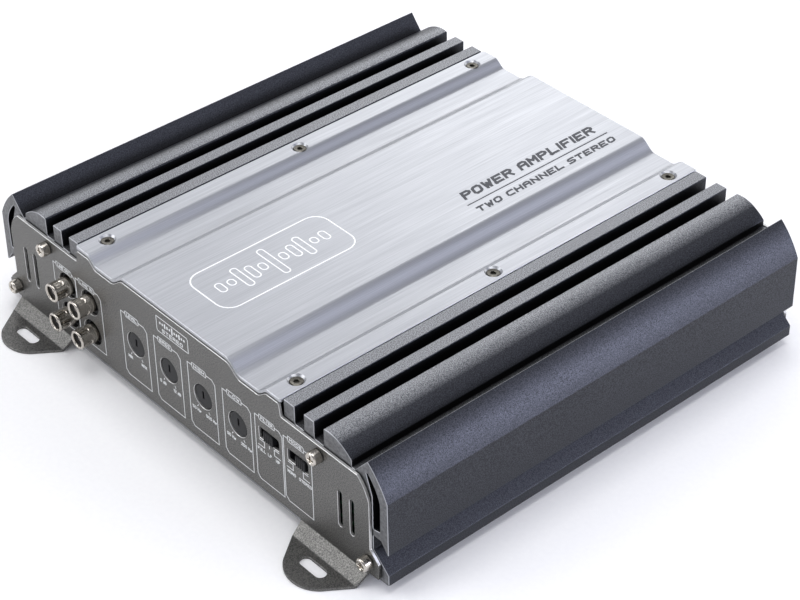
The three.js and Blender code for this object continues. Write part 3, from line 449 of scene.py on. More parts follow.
SHEET = 1.2
PUNCHED_RIM = 0.15              # rounding of a punched edge
PANEL_FACE = END + GAP + SHEET
PANEL_FOOT = 1.35
SHOULDER = 44.5                 # height of the panel in front of the fins
SHANK = 1.3                     # radius of the panel screws' shanks
EAR_X = SIDE - 28.4             # middle of an ear
EAR_HALF = 37.5 / 2             # half its width
EAR_FOLD = 5.2                  # panel face to the ear's fold
EAR_REACH = -corners("front_panel")[0][1] - PANEL_FACE
EAR_TIP = 14.1                  # radius
EAR_SLOT = (13, 4.8)            # length and width
VENT = (2.4, 17.1)              # width and height
VENT_Z = 21.95
VENT_INSETS = (17.8, 24.3)      # side to the middle of each vent
SMOOTH_END = 0.01               # left flat in the middle of a round end
FOLD_TOP = SHEET - BASE         # height of the ear's upper face
FOLD_START = 1.0                # height at which the fold begins
UPPER_BEND, LOWER_BEND = 0.7, 1.2
# The top plate from its edge inwards: the shoulder, the outer ramp, the valley and the inner ramp.
SHOULDER_WIDTH, OUTER_RAMP, VALLEY_WIDTH, INNER_RAMP = 7.4, 6, 9.6, 8.4
VALLEY_Z = 48.75
OUTER_START = PLATE_HALF - SHOULDER_WIDTH - OUTER_RAMP
INNER_START = OUTER_START - VALLEY_WIDTH - INNER_RAMP


def crown(x):
    """Height of the top plate's upper face: level in the middle, down half a cosine wave into a valley
    and up half a wave to the shoulder."""
    crown_z = corners("top_plate")[1][2] - BASE
    down = np.clip((np.abs(x) - INNER_START) / INNER_RAMP, 0, 1)
    up = np.clip((np.abs(x) - OUTER_START) / OUTER_RAMP, 0, 1)
    drop = (crown_z - VALLEY_Z) * (1 - np.cos(down * math.pi)) / 2
    rise = (SHOULDER_Z - VALLEY_Z) * (1 - np.cos(up * math.pi)) / 2
    return crown_z - drop + rise


def ramp_places(steps=16):
    """Where a sheet is scored so that it can take the crown's curve, on both sides."""
    along = np.linspace(0, 1, steps + 1)
    right = np.concatenate([INNER_START + INNER_RAMP * along, OUTER_START + OUTER_RAMP * along])
    return np.concatenate([-right[::-1], right])


def ring(u, v, radius, steps=48):
    """A round hole, clockwise."""
    angles = np.linspace(0, -2 * math.pi, steps, endpoint=False)
    return np.column_stack([u + radius * np.cos(angles), v + radius * np.sin(angles)])


def box_hole(u, v, width, height, radii):
    """A four-sided hole, clockwise from its lower left corner, with a radius for each corner."""
    signs = [(-1, -1), (-1, 1), (1, 1), (1, -1)]
    return rounded([(u + a * width / 2, v + b * height / 2, r) for (a, b), r in zip(signs, radii)], 8)


slope = math.atan2(FOLD_START - FOLD_TOP, EAR_FOLD)
upper_turn = math.pi / 2 - slope
upper_reach = UPPER_BEND * math.tan(upper_turn / 2)
lower_reach = LOWER_BEND * math.tan(slope / 2)
flat_run = math.hypot(EAR_FOLD, FOLD_START - FOLD_TOP) - upper_reach - lower_reach
# How far down the blank each stage of the fold begins.
bend_1 = FOLD_START + upper_reach
straight = bend_1 - UPPER_BEND * upper_turn
bend_2 = straight - flat_run
level = bend_2 - LOWER_BEND * slope
FOLD_SCORES = np.concatenate([np.linspace(bend_1, straight, 7), np.linspace(bend_2, level, 7)])


def folded(s, t):
    """Y and Z of a blank's point s up the sheet and t into its thickness. Down from bend_1 it follows an
    arc, a slope, a second arc and the level ear; each arc's centre lies on the outer side."""
    a = np.clip((bend_1 - s) / UPPER_BEND, 0, upper_turn)
    b = np.clip((bend_2 - s) / LOWER_BEND, 0, slope)
    slant = np.clip(straight - s, 0, flat_run)
    out = np.clip(level - s, 0, None)
    turned = a + b
    y = -UPPER_BEND * (1 - np.cos(a)) - slant * math.sin(upper_turn) - out
    z = np.maximum(s, bend_1)
    z = z - UPPER_BEND * np.sin(a) - slant * math.cos(upper_turn)
    y = y - LOWER_BEND * (np.cos(upper_turn) - np.cos(upper_turn + b))
    z = z - LOWER_BEND * (np.sin(upper_turn + b) - math.sin(upper_turn))
    return y + t * np.cos(turned), z - t * np.sin(turned)


def panel_blank():
    """Outline of the flat blank: crown, shoulders, sides and foot, with the two ears hanging from it."""
    fall = [0, EAR_FOLD + lower_reach, EAR_REACH]
    down = [FOLD_START, level, level - (EAR_REACH - EAR_FOLD - lower_reach)]
    fold_half = EAR_HALF - 0.75
    centre = EAR_REACH - EAR_TIP
    to_corner = math.hypot(fold_half, centre - EAR_FOLD)
    tangent = math.acos(EAR_TIP / to_corner) - math.atan2(EAR_FOLD - centre, fold_half)
    sweep = np.linspace(math.pi - tangent, tangent, 25)
    tip = [(EAR_TIP * math.cos(a), centre + EAR_TIP * math.sin(a)) for a in sweep[::-1]]
    ear = [(EAR_HALF, 0), (fold_half, EAR_FOLD)] + tip + [(-fold_half, EAR_FOLD), (-EAR_HALF, 0)]
    hanging = [(EAR_X + x, float(np.interp(y, fall, down)), 0) for x, y in ear]
    edge, foot = WALL_OUT - 0.2, SIDE - 3.8
    under = -PLATE - GAP - 0.15
    top_x = np.concatenate([[0], np.unique(np.abs(ramp_places()))])
    top = [(x, float(crown(x)) + under, 0) for x in top_x if x < PLATE_HALF - 2]
    cheek = bow((SIDE - 14.5, SHOULDER), (SIDE - 10.2, SHOULDER - 3), (edge, SHOULDER - 9.5), 10)
    half = [*top, (PLATE_HALF - 1.3, SHOULDER_Z + under, 0.5), (PLATE_HALF - 0.6, SHOULDER_Z - 2.8, 0.3),
            (PLATE_HALF + 0.1, SHOULDER, 0.6), *cheek,
            (edge, 13.2, 0.8), (foot, 13.2 - foot + edge, 0.8), (foot, PANEL_FOOT, 0.6),
            (EAR_X + EAR_HALF + 0.1, PANEL_FOOT, 0), *hanging, (EAR_X - EAR_HALF - 0.1, PANEL_FOOT, 0),
            (0, PANEL_FOOT, 0)]
    whole = rounded(half)
    return mirrored(whole[whole[:, 0] > 0])


def scored(solid, axis, places):
    """A closed solid with its faces divided along planes across one axis, so that it can be bent there."""
    points, faces = solid
    shape = bpy.data.meshes.new("scored")
    shape.from_pydata(points.tolist(), [], faces)
    work = bmesh.new()
    work.from_mesh(shape)
    normal = np.eye(3)[axis]
    for at in places:
        everything = work.verts[:] + work.edges[:] + work.faces[:]
        bmesh.ops.bisect_plane(work, geom=everything, plane_co=normal * at, plane_no=normal, dist=1e-4)
    work.to_mesh(shape)
    work.free()
    cut = np.zeros(len(shape.vertices) * 3, np.float32)
    shape.vertices.foreach_get("co", cut)
    kept = [list(face.vertices) for face in shape.polygons]
    bpy.data.meshes.remove(shape)
    return cut.reshape(-1, 3).astype(float), kept


def at_end(solid, end, x=0.0, z=BASE):
    """Takes a solid drawn at an end panel's face, X to the right as one faces it and Y running inwards,
    to the front end (-1) or, turned half round, to the rear end (1)."""
    points, faces = solid
    return points * (-end, -end, 1) + (x, end * PANEL_FACE, z), faces


def end_panel(name, end, holes):
    """Punches the blank and folds its ears."""
    screws = [middle(f"{name}_screw_{i}") for i in range(1, 5)]
    punched = [ring(-end * x, z - BASE, SHANK + GAP) for x, _, z in screws]
    vents = [(side * (SIDE - inset), VENT_Z) for side in (1, -1) for inset in VENT_INSETS]
    punched += [box_hole(x, z, *VENT, [VENT[0] / 2 - SMOOTH_END] * 4) for x, z in vents]
    slot_y = level - (EAR_REACH / 2 - EAR_FOLD - lower_reach)
    slot_radii = [EAR_SLOT[1] / 2 - SMOOTH_END] * 4
    punched += [box_hole(side * EAR_X, slot_y, *EAR_SLOT, slot_radii) for side in (1, -1)]
    points, faces = scored(bar([panel_blank(), *punched, *holes], 0, SHEET, PUNCHED_RIM), 1, FOLD_SCORES)
    y, z = folded(points[:, 1], points[:, 2])
    return at_end((np.column_stack([points[:, 0], y, z]), faces), end)


# Satin zinc-plated steel: mid grey metal with a fine even grain and soft, blurred reflections. The edge
# along the top was sheared after plating and shows bright.
satin, tree, place = finish("satin_zinc_plated_steel")
tooth = add(tree, "TexNoise", {"Vector": place, "Scale": 1 / (0.5 * MM), "Detail": 2})
grain = add(tree, "MapRange", {"Value": tooth, "From Min": 0.32, "From Max": 0.68})
patch = add(tree, "TexNoise", {"Vector": place, "Scale": 1 / (18 * MM)})
spread = add(tree, "MapRange", {"Value": patch, "To Min": 0.6, "To Max": 1.05})
tone = add(tree, "Math", {0: grain, 1: spread}, operation="MULTIPLY", use_clamp=True)
plated = add(tree, "Mix", {0: tone, 6: linear("#4e4e4d"), 7: linear("#83827f")}, data_type="RGBA")
facing = add(tree, "SeparateXYZ", {"Vector": add(tree, "TexCoord", output="Normal")}, output="Y")
flank = add(tree, "Math", {0: facing}, operation="ABSOLUTE")
edge = add(tree, "MapRange", {"Value": flank, "From Min": 0.9, "From Max": 0.8})
height = add(tree, "SeparateXYZ", {"Vector": place}, output="Z")
above = add(tree, "MapRange", {"Value": height, "From Min": 12 * MM, "From Max": 14 * MM})
bare = add(tree, "Math", {0: edge, 1: above}, operation="MULTIPLY")
colour = add(tree, "Mix", {0: bare, 6: plated, 7: linear("#d3d3d2")}, data_type="RGBA")
rough = add(tree, "MapRange", {"Value": grain, "To Min": 0.48, "To Max": 0.34})
relief = add(tree, "Bump", {"Height": grain, "Distance": 0.012 * MM, "Strength": 0.4})
shader = add(tree, "BsdfPrincipled", {"Base Color": colour, "Metallic": 0.85, "Roughness": rough,
                                      "Normal": relief})
add(tree, "OutputMaterial", {"Surface": shader})

POTS = [f"pot_cap_{i}" for i in range(1, 5)]
SWITCHES = ["filter_switch", "mode_switch"]
SLEEVES = [f"phono_sleeve_{i}" for i in range(1, 5)]
POT_CAP = 5.2                   # radius
SOCKET_HOLE = 5.7               # radius
WINDOW = (11.6, 5.3)            # a switch's, width and height
front_holes = [ring(middle(n)[0], middle(n)[2] - BASE, POT_CAP + GAP, 64) for n in POTS]
front_holes += [ring(middle(n)[0], middle(n)[2] - BASE, SOCKET_HOLE, 64) for n in SLEEVES]
for name in SWITCHES:
    x, _, z = middle(name + "_case")
    z = middle(name + "_knob")[2] - BASE
    front_holes.append(box_hole(x, z, *WINDOW, [0.4, 0.4, 1.2, 0.4]))
front_panel = piece("front_end_panel", end_panel("front_panel", -1, front_holes), satin)
stand_for(front_panel, "amplifier", "satin_steel", "front_panel")

BLOCKS = {"power_terminal": (3, 13, 1.6), "speaker_terminal": (4, 10.5, 1.4)}    # ways, pitch, barrier
TERMINAL_LOW, TERMINAL_HIGH = 10, 32
FUSE_Z = middle("blade_fuse_1")[2] - BASE
HOLDER = (31, 24)               # the fuse holder's width and height
LED = 2.5                       # radius of the lens
LED_X, LED_Z = -22, 36
rear_holes = [box_hole(0, FUSE_Z, HOLDER[0] + 2 * GAP, HOLDER[1] + 2 * GAP, [0.5] * 4),
              ring(-LED_X, LED_Z, LED + GAP)]
for name, (ways, pitch, barrier) in BLOCKS.items():
    width = ways * pitch + barrier + 2 * GAP
    height = TERMINAL_HIGH - TERMINAL_LOW + 2 * GAP
    x, z = -middle(name + "_block")[0], (TERMINAL_LOW + TERMINAL_HIGH) / 2
    rear_holes.append(box_hole(x, z, width, height, [0.5] * 4))
rear_panel = piece("rear_end_panel", end_panel("rear_panel", 1, rear_holes), satin)
stand_for(rear_panel, "amplifier", "satin_steel", "rear_panel")

# ---- Panel screws --------------------------------------------------------------------------------
# Steel thread-forming screws with a tall pan head and a cross recess, bright nickel plated. Four at
# each end go into bores in the extrusion.

# Bright nickel plate: warm grey mirror, very slightly clouded.
nickel, tree, place = finish("bright_nickel_plate")
haze = add(tree, "TexNoise", {"Vector": place, "Scale": 1 / (2.5 * MM)})
colour = add(tree, "Mix", {0: haze, 6: linear("#aca69d"), 7: linear("#cfcac2")}, data_type="RGBA")
rough = add(tree, "MapRange", {"Value": haze, "To Min": 0.14, "To Max": 0.28})
relief = add(tree, "Bump", {"Height": haze, "Distance": 0.01 * MM, "Strength": 0.4})
shader = add(tree, "BsdfPrincipled", {"Base Color": colour, "Metallic": 1, "Roughness": rough,
                                      "Normal": relief})
add(tree, "OutputMaterial", {"Surface": shader})


def turned(rings, sides=64, closed=False):
    """Points (u, v, w) and faces of a solid turned about w. Each ring is (radius, w), and its radius one
    number or one for each direction; a ring of radius 0 is a single point. With closed the last ring
    joins the first, which makes a tube."""
    angle = np.linspace(0, 2 * math.pi, sides, endpoint=False)
    points, starts, faces = [], [], []
    for radius, w in rings:
        starts.append(sum(len(rows) for rows in points))
        if np.ndim(radius) == 0 and radius == 0:
            points.append(np.array([[0, 0, w]], float))
            continue
        radius = np.broadcast_to(radius, sides)
        points.append(np.column_stack([radius * np.cos(angle), radius * np.sin(angle), np.full(sides, w)]))
    here = np.arange(sides)
    following = np.roll(here, -1)
    pairs = list(zip(range(len(rings)), range(1, len(rings))))
    for a, b in pairs + ([(len(rings) - 1, 0)] if closed else []):
        lower, upper = [starts[a] + here, starts[a] + following], [starts[b] + following, starts[b] + here]
        if len(points[a]) == 1:
            lower = [np.full(sides, starts[a])]
        if len(points[b]) == 1:
            upper = [np.full(sides, starts[b])]
        faces += np.column_stack(lower + upper).tolist()
    return np.concatenate(points), faces


HEAD_SIDES = 96                 # directions of a screw head
PAN_HEAD = 4                    # height of a panel screw's head


def cross(arm, half):
    """Radius of a plus sign in each direction: the nearer of an arm's end and its side."""
    angle = np.linspace(0, 2 * math.pi, HEAD_SIDES, endpoint=False)
    off = np.abs((angle + math.pi / 4) % (math.pi / 2) - math.pi / 4)
    return np.minimum(arm / np.cos(off), half / np.maximum(np.sin(off), 1e-3))


def panel_screw():
    """Cross recess, domed pan head and shank, from the head's face inwards."""
    low, high = corners("front_panel_screw_1")
    radius, face, tip = (high[0] - low[0]) / 2, -PAN_HEAD, high[1] - low[1] - PAN_HEAD
    recess = [(0, face + 1.7), (cross(0.7, 0.25), face + 1.6), (cross(1.75, 0.42), face + 0.12),
              (cross(1.85, 0.5), face + 0.03)]
    dome = [(radius * 0.72, face), (radius * 0.86, face + 0.16), (radius * 0.96, face + 0.5),
            (radius, face + 1), (radius, -GAP - 0.1), (radius - 0.1, -GAP)]
    shank = [(SHANK, -GAP), (SHANK, tip - 1.2), (SHANK * 0.4, tip), (0, tip)]
    return along_y(turned(recess + dome + shank, HEAD_SIDES))


for name, end in (("front_panel", -1), ("rear_panel", 1)):
    for i in range(1, 5):
        x, _, z = middle(f"{name}_screw_{i}")
        screw = piece(f"{name}_cross_head_screw_{i}", at_end(panel_screw(), end, x, z), nickel)
        stand_for(screw, "amplifier", "nickel", f"{name}_screw_{i}")

# ---- Phono sockets -------------------------------------------------------------------------------
# Four line sockets, two out and two in, in one moulding behind the panel. Each has a drawn, nickel-
# plated sleeve with a rolled mouth and four tongues pressed in, round an insulator with a contact.

coat("phono_socket_block", moulding)
SLEEVE = 4.15                   # outer radius
SLEEVE_WALL = 0.6
CURL = 0.65                     # radius of the mouth's rolled edge
SLEEVE_PROUD = 8                # how far the sleeve stands out of the panel
SLEEVE_NECK = SLEEVE - 0.12     # radius behind the rolled mouth


def phono_sleeve():
    """The sleeve's section turned about its axis. A tongue's mark is a groove along a U: its depth falls
    off as exp(-(d / 0.28)^2) with the distance d from a capsule's outline, open towards the mouth."""
    inner, sides = SLEEVE - SLEEVE_WALL, 128
    back = SHEET + GAP + 2.5
    mouth = -SLEEVE_PROUD
    wall = np.linspace(mouth + 1.6, back, 60)
    angle = np.linspace(0, 2 * math.pi, sides, endpoint=False)
    around = (angle + math.radians(62)) % (math.pi / 2) - math.pi / 4
    u, v = SLEEVE_NECK * around[None, :], (wall - mouth - 1.6)[:, None]
    reach = np.hypot(u, np.maximum(v - 2.3, 0))
    groove = 0.3 * np.exp(-((reach - 1.05) / 0.28) ** 2) * (v > 0) * (v < 4)
    turn = np.linspace(-0.15, 1.15, 14) * math.pi
    rolled = [(SLEEVE - CURL - CURL * math.cos(a), mouth + CURL - CURL * math.sin(a)) for a in turn]
    outside = [(SLEEVE_NECK - depth, y) for depth, y in zip(groove, wall)]
    return along_y(turned([(inner, back)] + rolled + outside, sides, closed=True))


def spring_contact():
    """The thin-walled tube in the insulator's bore that grips the plug's pin."""
    front, back = -SLEEVE_PROUD + 1.75, 4
    outside = [(1.1, front), (1.3, front - 0.05), (1.5, front + 0.15), (1.5, back)]
    bore = [(0.95, back), (0.95, front + 1)]
    return along_y(turned(outside + bore, 40, closed=True))


for i, node in enumerate(SLEEVES, 1):
    x, _, z = middle(node)
    sleeve = piece(f"phono_drawn_sleeve_{i}", at_end(phono_sleeve(), -1, x, z), nickel)
    stand_for(sleeve, "amplifier", "nickel", node)
    contact = piece(f"phono_spring_contact_{i}", at_end(spring_contact(), -1, x, z), nickel)
    stand_for(contact, "amplifier", "nickel")

# ---- Turn controls -------------------------------------------------------------------------------
# Black nylon caps that lie almost flush in the panel, turned by a screwdriver in the pointer's
# recess. Each sits on the stem of a control whose moulded case stands on the board.

for i in range(1, 5):
    coat(f"pot_case_{i}", moulding)


def pointer(tip, tail, half, sides):
    """Radius, in each direction, of a bar that runs up by tip and down by tail, half wide each side."""
    angle = np.linspace(0, 2 * math.pi, sides, endpoint=False)
    along = np.where(np.sin(angle) > 0, tip, tail) / np.maximum(np.abs(np.sin(angle)), 1e-3)
    return np.minimum(along, half / np.maximum(np.abs(np.cos(angle)), 1e-3))


def pot_cap():
    """Pointer's recess, flat face, broken edge and skirt, then the stem."""
    sides, front, depth = 128, 0.35, 2.0
    back = front + depth
    rings = [(0, front + 0.8), (pointer(2.3, 0.7, 0.3, sides), front + 0.75),
             (pointer(2.6, 1.0, 0.5, sides), front + 0.03), (pointer(2.65, 1.05, 0.55, sides), front),
             (POT_CAP - 0.5, front), (POT_CAP - 0.2, front + 0.08), (POT_CAP, front + 0.3),
             (POT_CAP, back), (1.5, back), (1.5, back + 5), (0, back + 5)]
    return along_y(turned(rings, sides))


for i, node in enumerate(POTS, 1):
    x, _, z = middle(node)
    cap = piece(f"turn_cap_{i}", at_end(pot_cap(), -1, x, z), moulding)
    stand_for(cap, node, "black_plastic", node)

# ---- Slide switches ------------------------------------------------------------------------------
# Black knobs with grip ribs that slide sideways in the panel's windows. Their moulded cases stand on
# the board behind the panel.

RIBS = 5


def ribbed_knob(node):
    """The knob seen from above, carried upright: a block whose face has ribs between narrow grooves, as
    the sine's size raised to 1.5."""
    low, high = corners(node)
    half, deep, tall = (high[0] - low[0]) / 2, high[1] - low[1], (high[2] - low[2]) / 2
    x = np.linspace(-half + 0.25, half - 0.25, 41)
    rib = -deep / 2 + 0.35 - 0.35 * np.abs(np.sin((x + half) / (2 * half) * RIBS * math.pi)) ** 1.5
    face = [(a, b, 0) for a, b in zip(x, rib)]
    outline = rounded([*face, (half, -deep / 2 + 0.25, 0), (half, deep / 2, 0), (-half, deep / 2, 0),
                       (-half, -deep / 2 + 0.25, 0)])
    return moved(bar([outline], -tall, tall, 0.15), (low + high) / 2)


for name in SWITCHES:
    coat(name + "_case", moulding)
    knob = piece(name + "_ribbed_knob", ribbed_knob(name + "_knob"), moulding)
    stand_for(knob, name + "_knob", "black_plastic", name + "_knob")

# ---- Rear terminals ------------------------------------------------------------------------------
# Barrier strips of black nylon that reach out through the rear panel: three ways for the supply and
# four for the speakers. In each way a screw clamps the wire on a nickel-plated plate.

TERMINAL_PROUD = 9
TERMINAL_DEPTH = 14
TERMINAL_FACE = 1               # the face that the plates lie on, out of the panel
CLAMP = 0.25                    # how far a clamp plate stands out of that face
CLAMP_HALF = 4.2                # half a clamp plate's height
BINDING_HEAD = 2.6              # height of a terminal screw's head
TERMINAL_SHANK = 1.7


def barrier_strip(ways, pitch, barrier):
    """The strip seen from above, carried upright: a base with a comb of barriers."""
    half = (ways * pitch + barrier) / 2
    comb = [(half, TERMINAL_DEPTH, 0.3), (-half, TERMINAL_DEPTH, 0.3)]
    for i in range(ways + 1):
        left = -half + i * pitch
        comb += [(left, -TERMINAL_PROUD, 0.45), (left + barrier, -TERMINAL_PROUD, 0.45)]
        if i < ways:
            comb += [(left + barrier, -TERMINAL_FACE, 0.5), (left + pitch, -TERMINAL_FACE, 0.5)]
    outline = rounded(comb)
    return bar([outline], TERMINAL_LOW, TERMINAL_HIGH, 0.3)


def clamp_plate(pitch, barrier):
    """Flat plate with round corners under a screw head."""
    half = (pitch - barrier) / 2 - 0.5
    outline = rounded([(-half, -CLAMP_HALF, 0.6), (half, -CLAMP_HALF, 0.6), (half, CLAMP_HALF, 0.6),
                       (-half, CLAMP_HALF, 0.6)])
    return along_y(bar([outline], -TERMINAL_FACE - CLAMP, -TERMINAL_FACE + 0.05, 0.06))


def terminal_screw(node):
    """Large binding head with a cross recess, from its face inwards."""
    low, high = corners(node)
    radius, length = (high[0] - low[0]) / 2, high[1] - low[1]
    under = -TERMINAL_FACE - GAP
    face = under - BINDING_HEAD
    tip = face + length
    recess = [(0, face + 1.5), (cross(0.9, 0.3), face + 1.4), (cross(2.05, 0.5), face + 0.1),
              (cross(2.15, 0.58), face + 0.02)]
    head = [(radius * 0.78, face), (radius * 0.93, face + 0.2), (radius, face + 0.7), (radius, under - 0.15),
            (radius - 0.15, under)]
    shank = [(TERMINAL_SHANK, under), (TERMINAL_SHANK, tip - 0.5), (0, tip)]
    return along_y(turned(recess + head + shank, HEAD_SIDES))


for name, (ways, pitch, barrier) in BLOCKS.items():
    x, _, _ = middle(name + "_block")
    strip = piece(name + "_barrier_strip", at_end(barrier_strip(ways, pitch, barrier), 1, x), moulding)
    stand_for(strip, "amplifier", "black_plastic", name + "_block")
    for i in range(1, ways + 1):
        node = f"{name}_screw_{i}"
        x, _, z = middle(node)
        plate = piece(f"{name}_clamp_plate_{i}", at_end(clamp_plate(pitch, barrier), 1, x, z), nickel)
        stand_for(plate, "amplifier", "nickel")
        screw = piece(f"{name}_binding_screw_{i}", at_end(terminal_screw(node), 1, x, z), nickel)
        stand_for(screw, node, "nickel", node)

# ---- Fuses ---------------------------------------------------------------------------------------
# Two blade fuses of clear amber plastic plug into a black holder in the rear panel. Their flat
# blades are tin plated, and the rating is printed on the head.

# Moulded polycarbonate, tinted amber: clear and glossy, so that the light glows through its edges.
amber, tree, place = finish("amber_moulded_polycarbonate")
flow = add(tree, "TexNoise", {"Vector": place, "Scale": 1 / (5 * MM)})
colour = add(tree, "Mix", {0: flow, 6: linear("#c9680f"), 7: linear("#e08a1e")}, data_type="RGBA")
rough = add(tree, "MapRange", {"Value": flow, "To Min": 0.12, "To Max": 0.24})
shader = add(tree, "BsdfPrincipled", {"Base Color": colour, "Roughness": rough, "IOR": 1.58,
                                      "Transmission Weight": 0.45})
add(tree, "OutputMaterial", {"Surface": shader})

# Matt screen-printing ink, off-white: slightly uneven where the mesh of the screen laid it down.
white_ink, tree, place = finish("white_screen_printing_ink")
mesh_mark = add(tree, "TexNoise", {"Vector": place, "Scale": 1 / (0.3 * MM)})
colour = add(tree, "Mix", {0: mesh_mark, 6: linear("#c9cccd"), 7: linear("#eef0f1")}, data_type="RGBA")
rough = add(tree, "MapRange", {"Value": mesh_mark, "To Min": 0.5, "To Max": 0.7})
shader = add(tree, "BsdfPrincipled", {"Base Color": colour, "Roughness": rough})
add(tree, "OutputMaterial", {"Surface": shader})

INK = 0.03                      # how far a printed mark stands on its surface
SUNK = 0.02                     # and how far its slab reaches in


def together(solids):
    """Several closed solids as one list of points and faces."""
    points, faces, first = [], [], 0
    for some_points, some_faces in solids:
        points.append(some_points)
        faces += [[first + i for i in face] for face in some_faces]
        first += len(some_points)
    return np.concatenate(points), faces


def stroke(path, width):
    """Outline of a pen stroke along an open path: the path, made longer at both ends by half the width,
    moved to its right and then back along its left. At a bend both sides meet on its bisector."""
    path = np.array(path, float)
    side = unit(np.diff(path, axis=0))
    path[0] -= side[0] * width / 2
    path[-1] += side[-1] * width / 2
    normal = side[:, ::-1] * (-1, 1)
    before, after = np.vstack([normal[:1], normal]), np.vstack([normal, normal[-1:]])
    shift = (before + after) / (1 + np.sum(before * after, 1, keepdims=True)) * width / 2
    return np.concatenate([path - shift, (path + shift)[::-1]])


def ringed(loop, width):
    """Strokes round a box's outline, one along each half. They overlap by a step on two facing sides."""
    loop = np.roll(loop, len(loop) // 4, axis=0)
    loop = np.concatenate([loop, loop[:2]])
    half = len(loop) // 2
    return [stroke(loop[:half + 1], width), stroke(loop[half - 1:], width)]


def pen_line(path, width):
    """One rectangle for each leg of an open path. It is made longer by half the width at the line's ends
    and by that times the tangent of half the turn at a bend, so that the outer corners meet."""
    path = np.array(path, float)
    leg = unit(np.diff(path, axis=0))
    cosine = np.sum(leg[:-1] * leg[1:], 1)
    reach = width / 2 * np.concatenate([[1], np.sqrt((1 - cosine) / (1 + cosine)), [1]])[:, None]
    start, end = path[:-1] - leg * reach[:-1], path[1:] + leg * reach[1:]
    side = leg[:, ::-1] * (-1, 1) * width / 2
    return list(np.stack([start - side, end - side, end + side, start + side], 1))


# Strokes of plain square-shouldered capitals, as column and row on a grid four wide and six tall.
GLYPHS = {"A": "00 05 16 36 45 40, 03 43", "B": "00 06, 06 36 45 44 33 03, 33 42 41 30 00",
          "C": "46 16 05 01 10 40", "D": "00 06, 06 36 45 41 30 00", "E": "46 06 00 40, 03 33",
          "F": "46 06 00, 03 33", "G": "46 16 05 01 10 40 43 23", "H": "00 06, 40 46, 03 43", "I": "00 06",
          "K": "00 06, 03 13, 13 46, 13 40", "L": "06 00 40", "M": "00 06, 06 23 46, 46 40",
          "N": "00 06, 06 40, 40 46", "O": "10 01 05 16 36, 36 45 41 30 10", "P": "00 06, 06 36 45 44 33 03",
          "R": "00 06, 06 36 45 44 33 03, 23 40", "S": "46 16 05 04 13 33 42 41 30 00", "T": "06 46, 26 20",
          "U": "06 01 10 30 41 46", "V": "06 20, 20 46", "W": "06 10, 10 24, 24 30, 30 46",
          "X": "00 46, 06 40", "d": "36 30, 30 00 03 33", "z": "03 33 00 30",
          "0": "10 01 05 16 36, 36 45 41 30 10", "1": "05 16, 16 10", "2": "05 16 36 45 44 00, 00 40",
          "5": "46 06 03 33 42 41 30 00", "+": "03 43, 21 25", "-": "03 43"}
NARROW = {"I": 0, "1": 1, " ": 1, "d": 3, "z": 3}     # widths other than four
LETTER_SPACE = 2.1              # between letters, on the same grid


def lettering(words, u, v, height, pen, width=None, slant=0.0):
    """Pen strokes of words centred on (u, v), in capitals of that height. Without a width a letter is two
    thirds as wide as it is tall. The strokes lean to the right by slant times their height."""
    widths = np.array([NARROW.get(letter, 4) for letter in words])
    starts = np.cumsum(widths + LETTER_SPACE) - widths - LETTER_SPACE
    span = starts[-1] + widths[-1]
    up = (height - pen) / 6
    along = (width - pen) / span if width else up
    strokes = []
    for letter, start in zip(words, starts):
        for marks in GLYPHS[letter].split(",") if letter != " " else []:
            grid = np.array([(int(mark[0]), int(mark[1])) for mark in marks.split()], float)
            placed = (grid + (start - span / 2, -3)) * (along, up)
            placed[:, 0] += slant * placed[:, 1]
            strokes += pen_line(placed + (u, v), pen)
    return strokes


def printed(outlines):
    """A slab of ink from overlapping closed outlines. All their edges are cut at their crossings and
    triangulated, triangles within any outline are kept, and a wall stands on each edge that only one
    triangle has."""
    flat = np.concatenate(outlines)
    ends = np.cumsum([len(outline) for outline in outlines])
    faces = [list(range(end - len(outline), end)) for outline, end in zip(outlines, ends)]
    cut = delaunay_2d_cdt([Vector(place) for place in flat], [], faces, 0, 1e-4)
    places, inside = np.array(cut[0]), np.array([t for t, owners in zip(cut[2], cut[5]) if owners])
    count = len(places)
    edges = inside[:, [[0, 1], [1, 2], [2, 0]]].reshape(-1, 2)
    code = edges.min(1) * count + edges.max(1)
    _, place, shared = np.unique(code, return_index=True, return_counts=True)
    rim = edges[place[shared == 1]]
    walls = np.column_stack([rim, rim[:, ::-1] + count])
    points = np.concatenate([np.column_stack([places, np.full(count, w)]) for w in (-INK, SUNK)])
    used = np.unique(np.concatenate([inside, inside + count]))
    renumber = np.zeros(2 * count, int)
    renumber[used] = np.arange(len(used))
    top, bottom = inside[:, ::-1], inside + count
    return points[used], renumber[np.concatenate([top, bottom])].tolist() + renumber[walls].tolist()


def box_outline(u, v, width, height, radii):
    """A four-sided outline, anticlockwise from its lower left corner, with a radius for each corner."""
    signs = [(-1, -1), (1, -1), (1, 1), (-1, 1)]
    return rounded([(u + a * width / 2, v + b * height / 2, r) for (a, b), r in zip(signs, radii)], 6)


BLADE_OFFSET, BLADE_HALF = 6.9, 2.6     # fuse's middle to a blade's, and half the blade's width
BLADE_SLOT = (1.4, 5.8)
HOLDER_DEPTH = 13
FUSE_SEAT = -TERMINAL_FACE - GAP


def fuse_holder():
    """The holder's block, with a slot for each blade."""
    slots = [box_hole(-middle(f"blade_fuse_{i}")[0], v, *BLADE_SLOT, [0.2] * 4)
             for i in (1, 2) for v in (FUSE_Z - BLADE_OFFSET, FUSE_Z + BLADE_OFFSET)]
    outline = box_outline(0, FUSE_Z, *HOLDER, [1] * 4)
    return along_y(bar([outline, *slots], -TERMINAL_FACE, HOLDER_DEPTH, 0.4))


def along_x(solid):
    """Turns a bar drawn in Y and Z and carried along w so that w lies along X."""
    points, faces = solid
    return points[:, [2, 0, 1]], faces


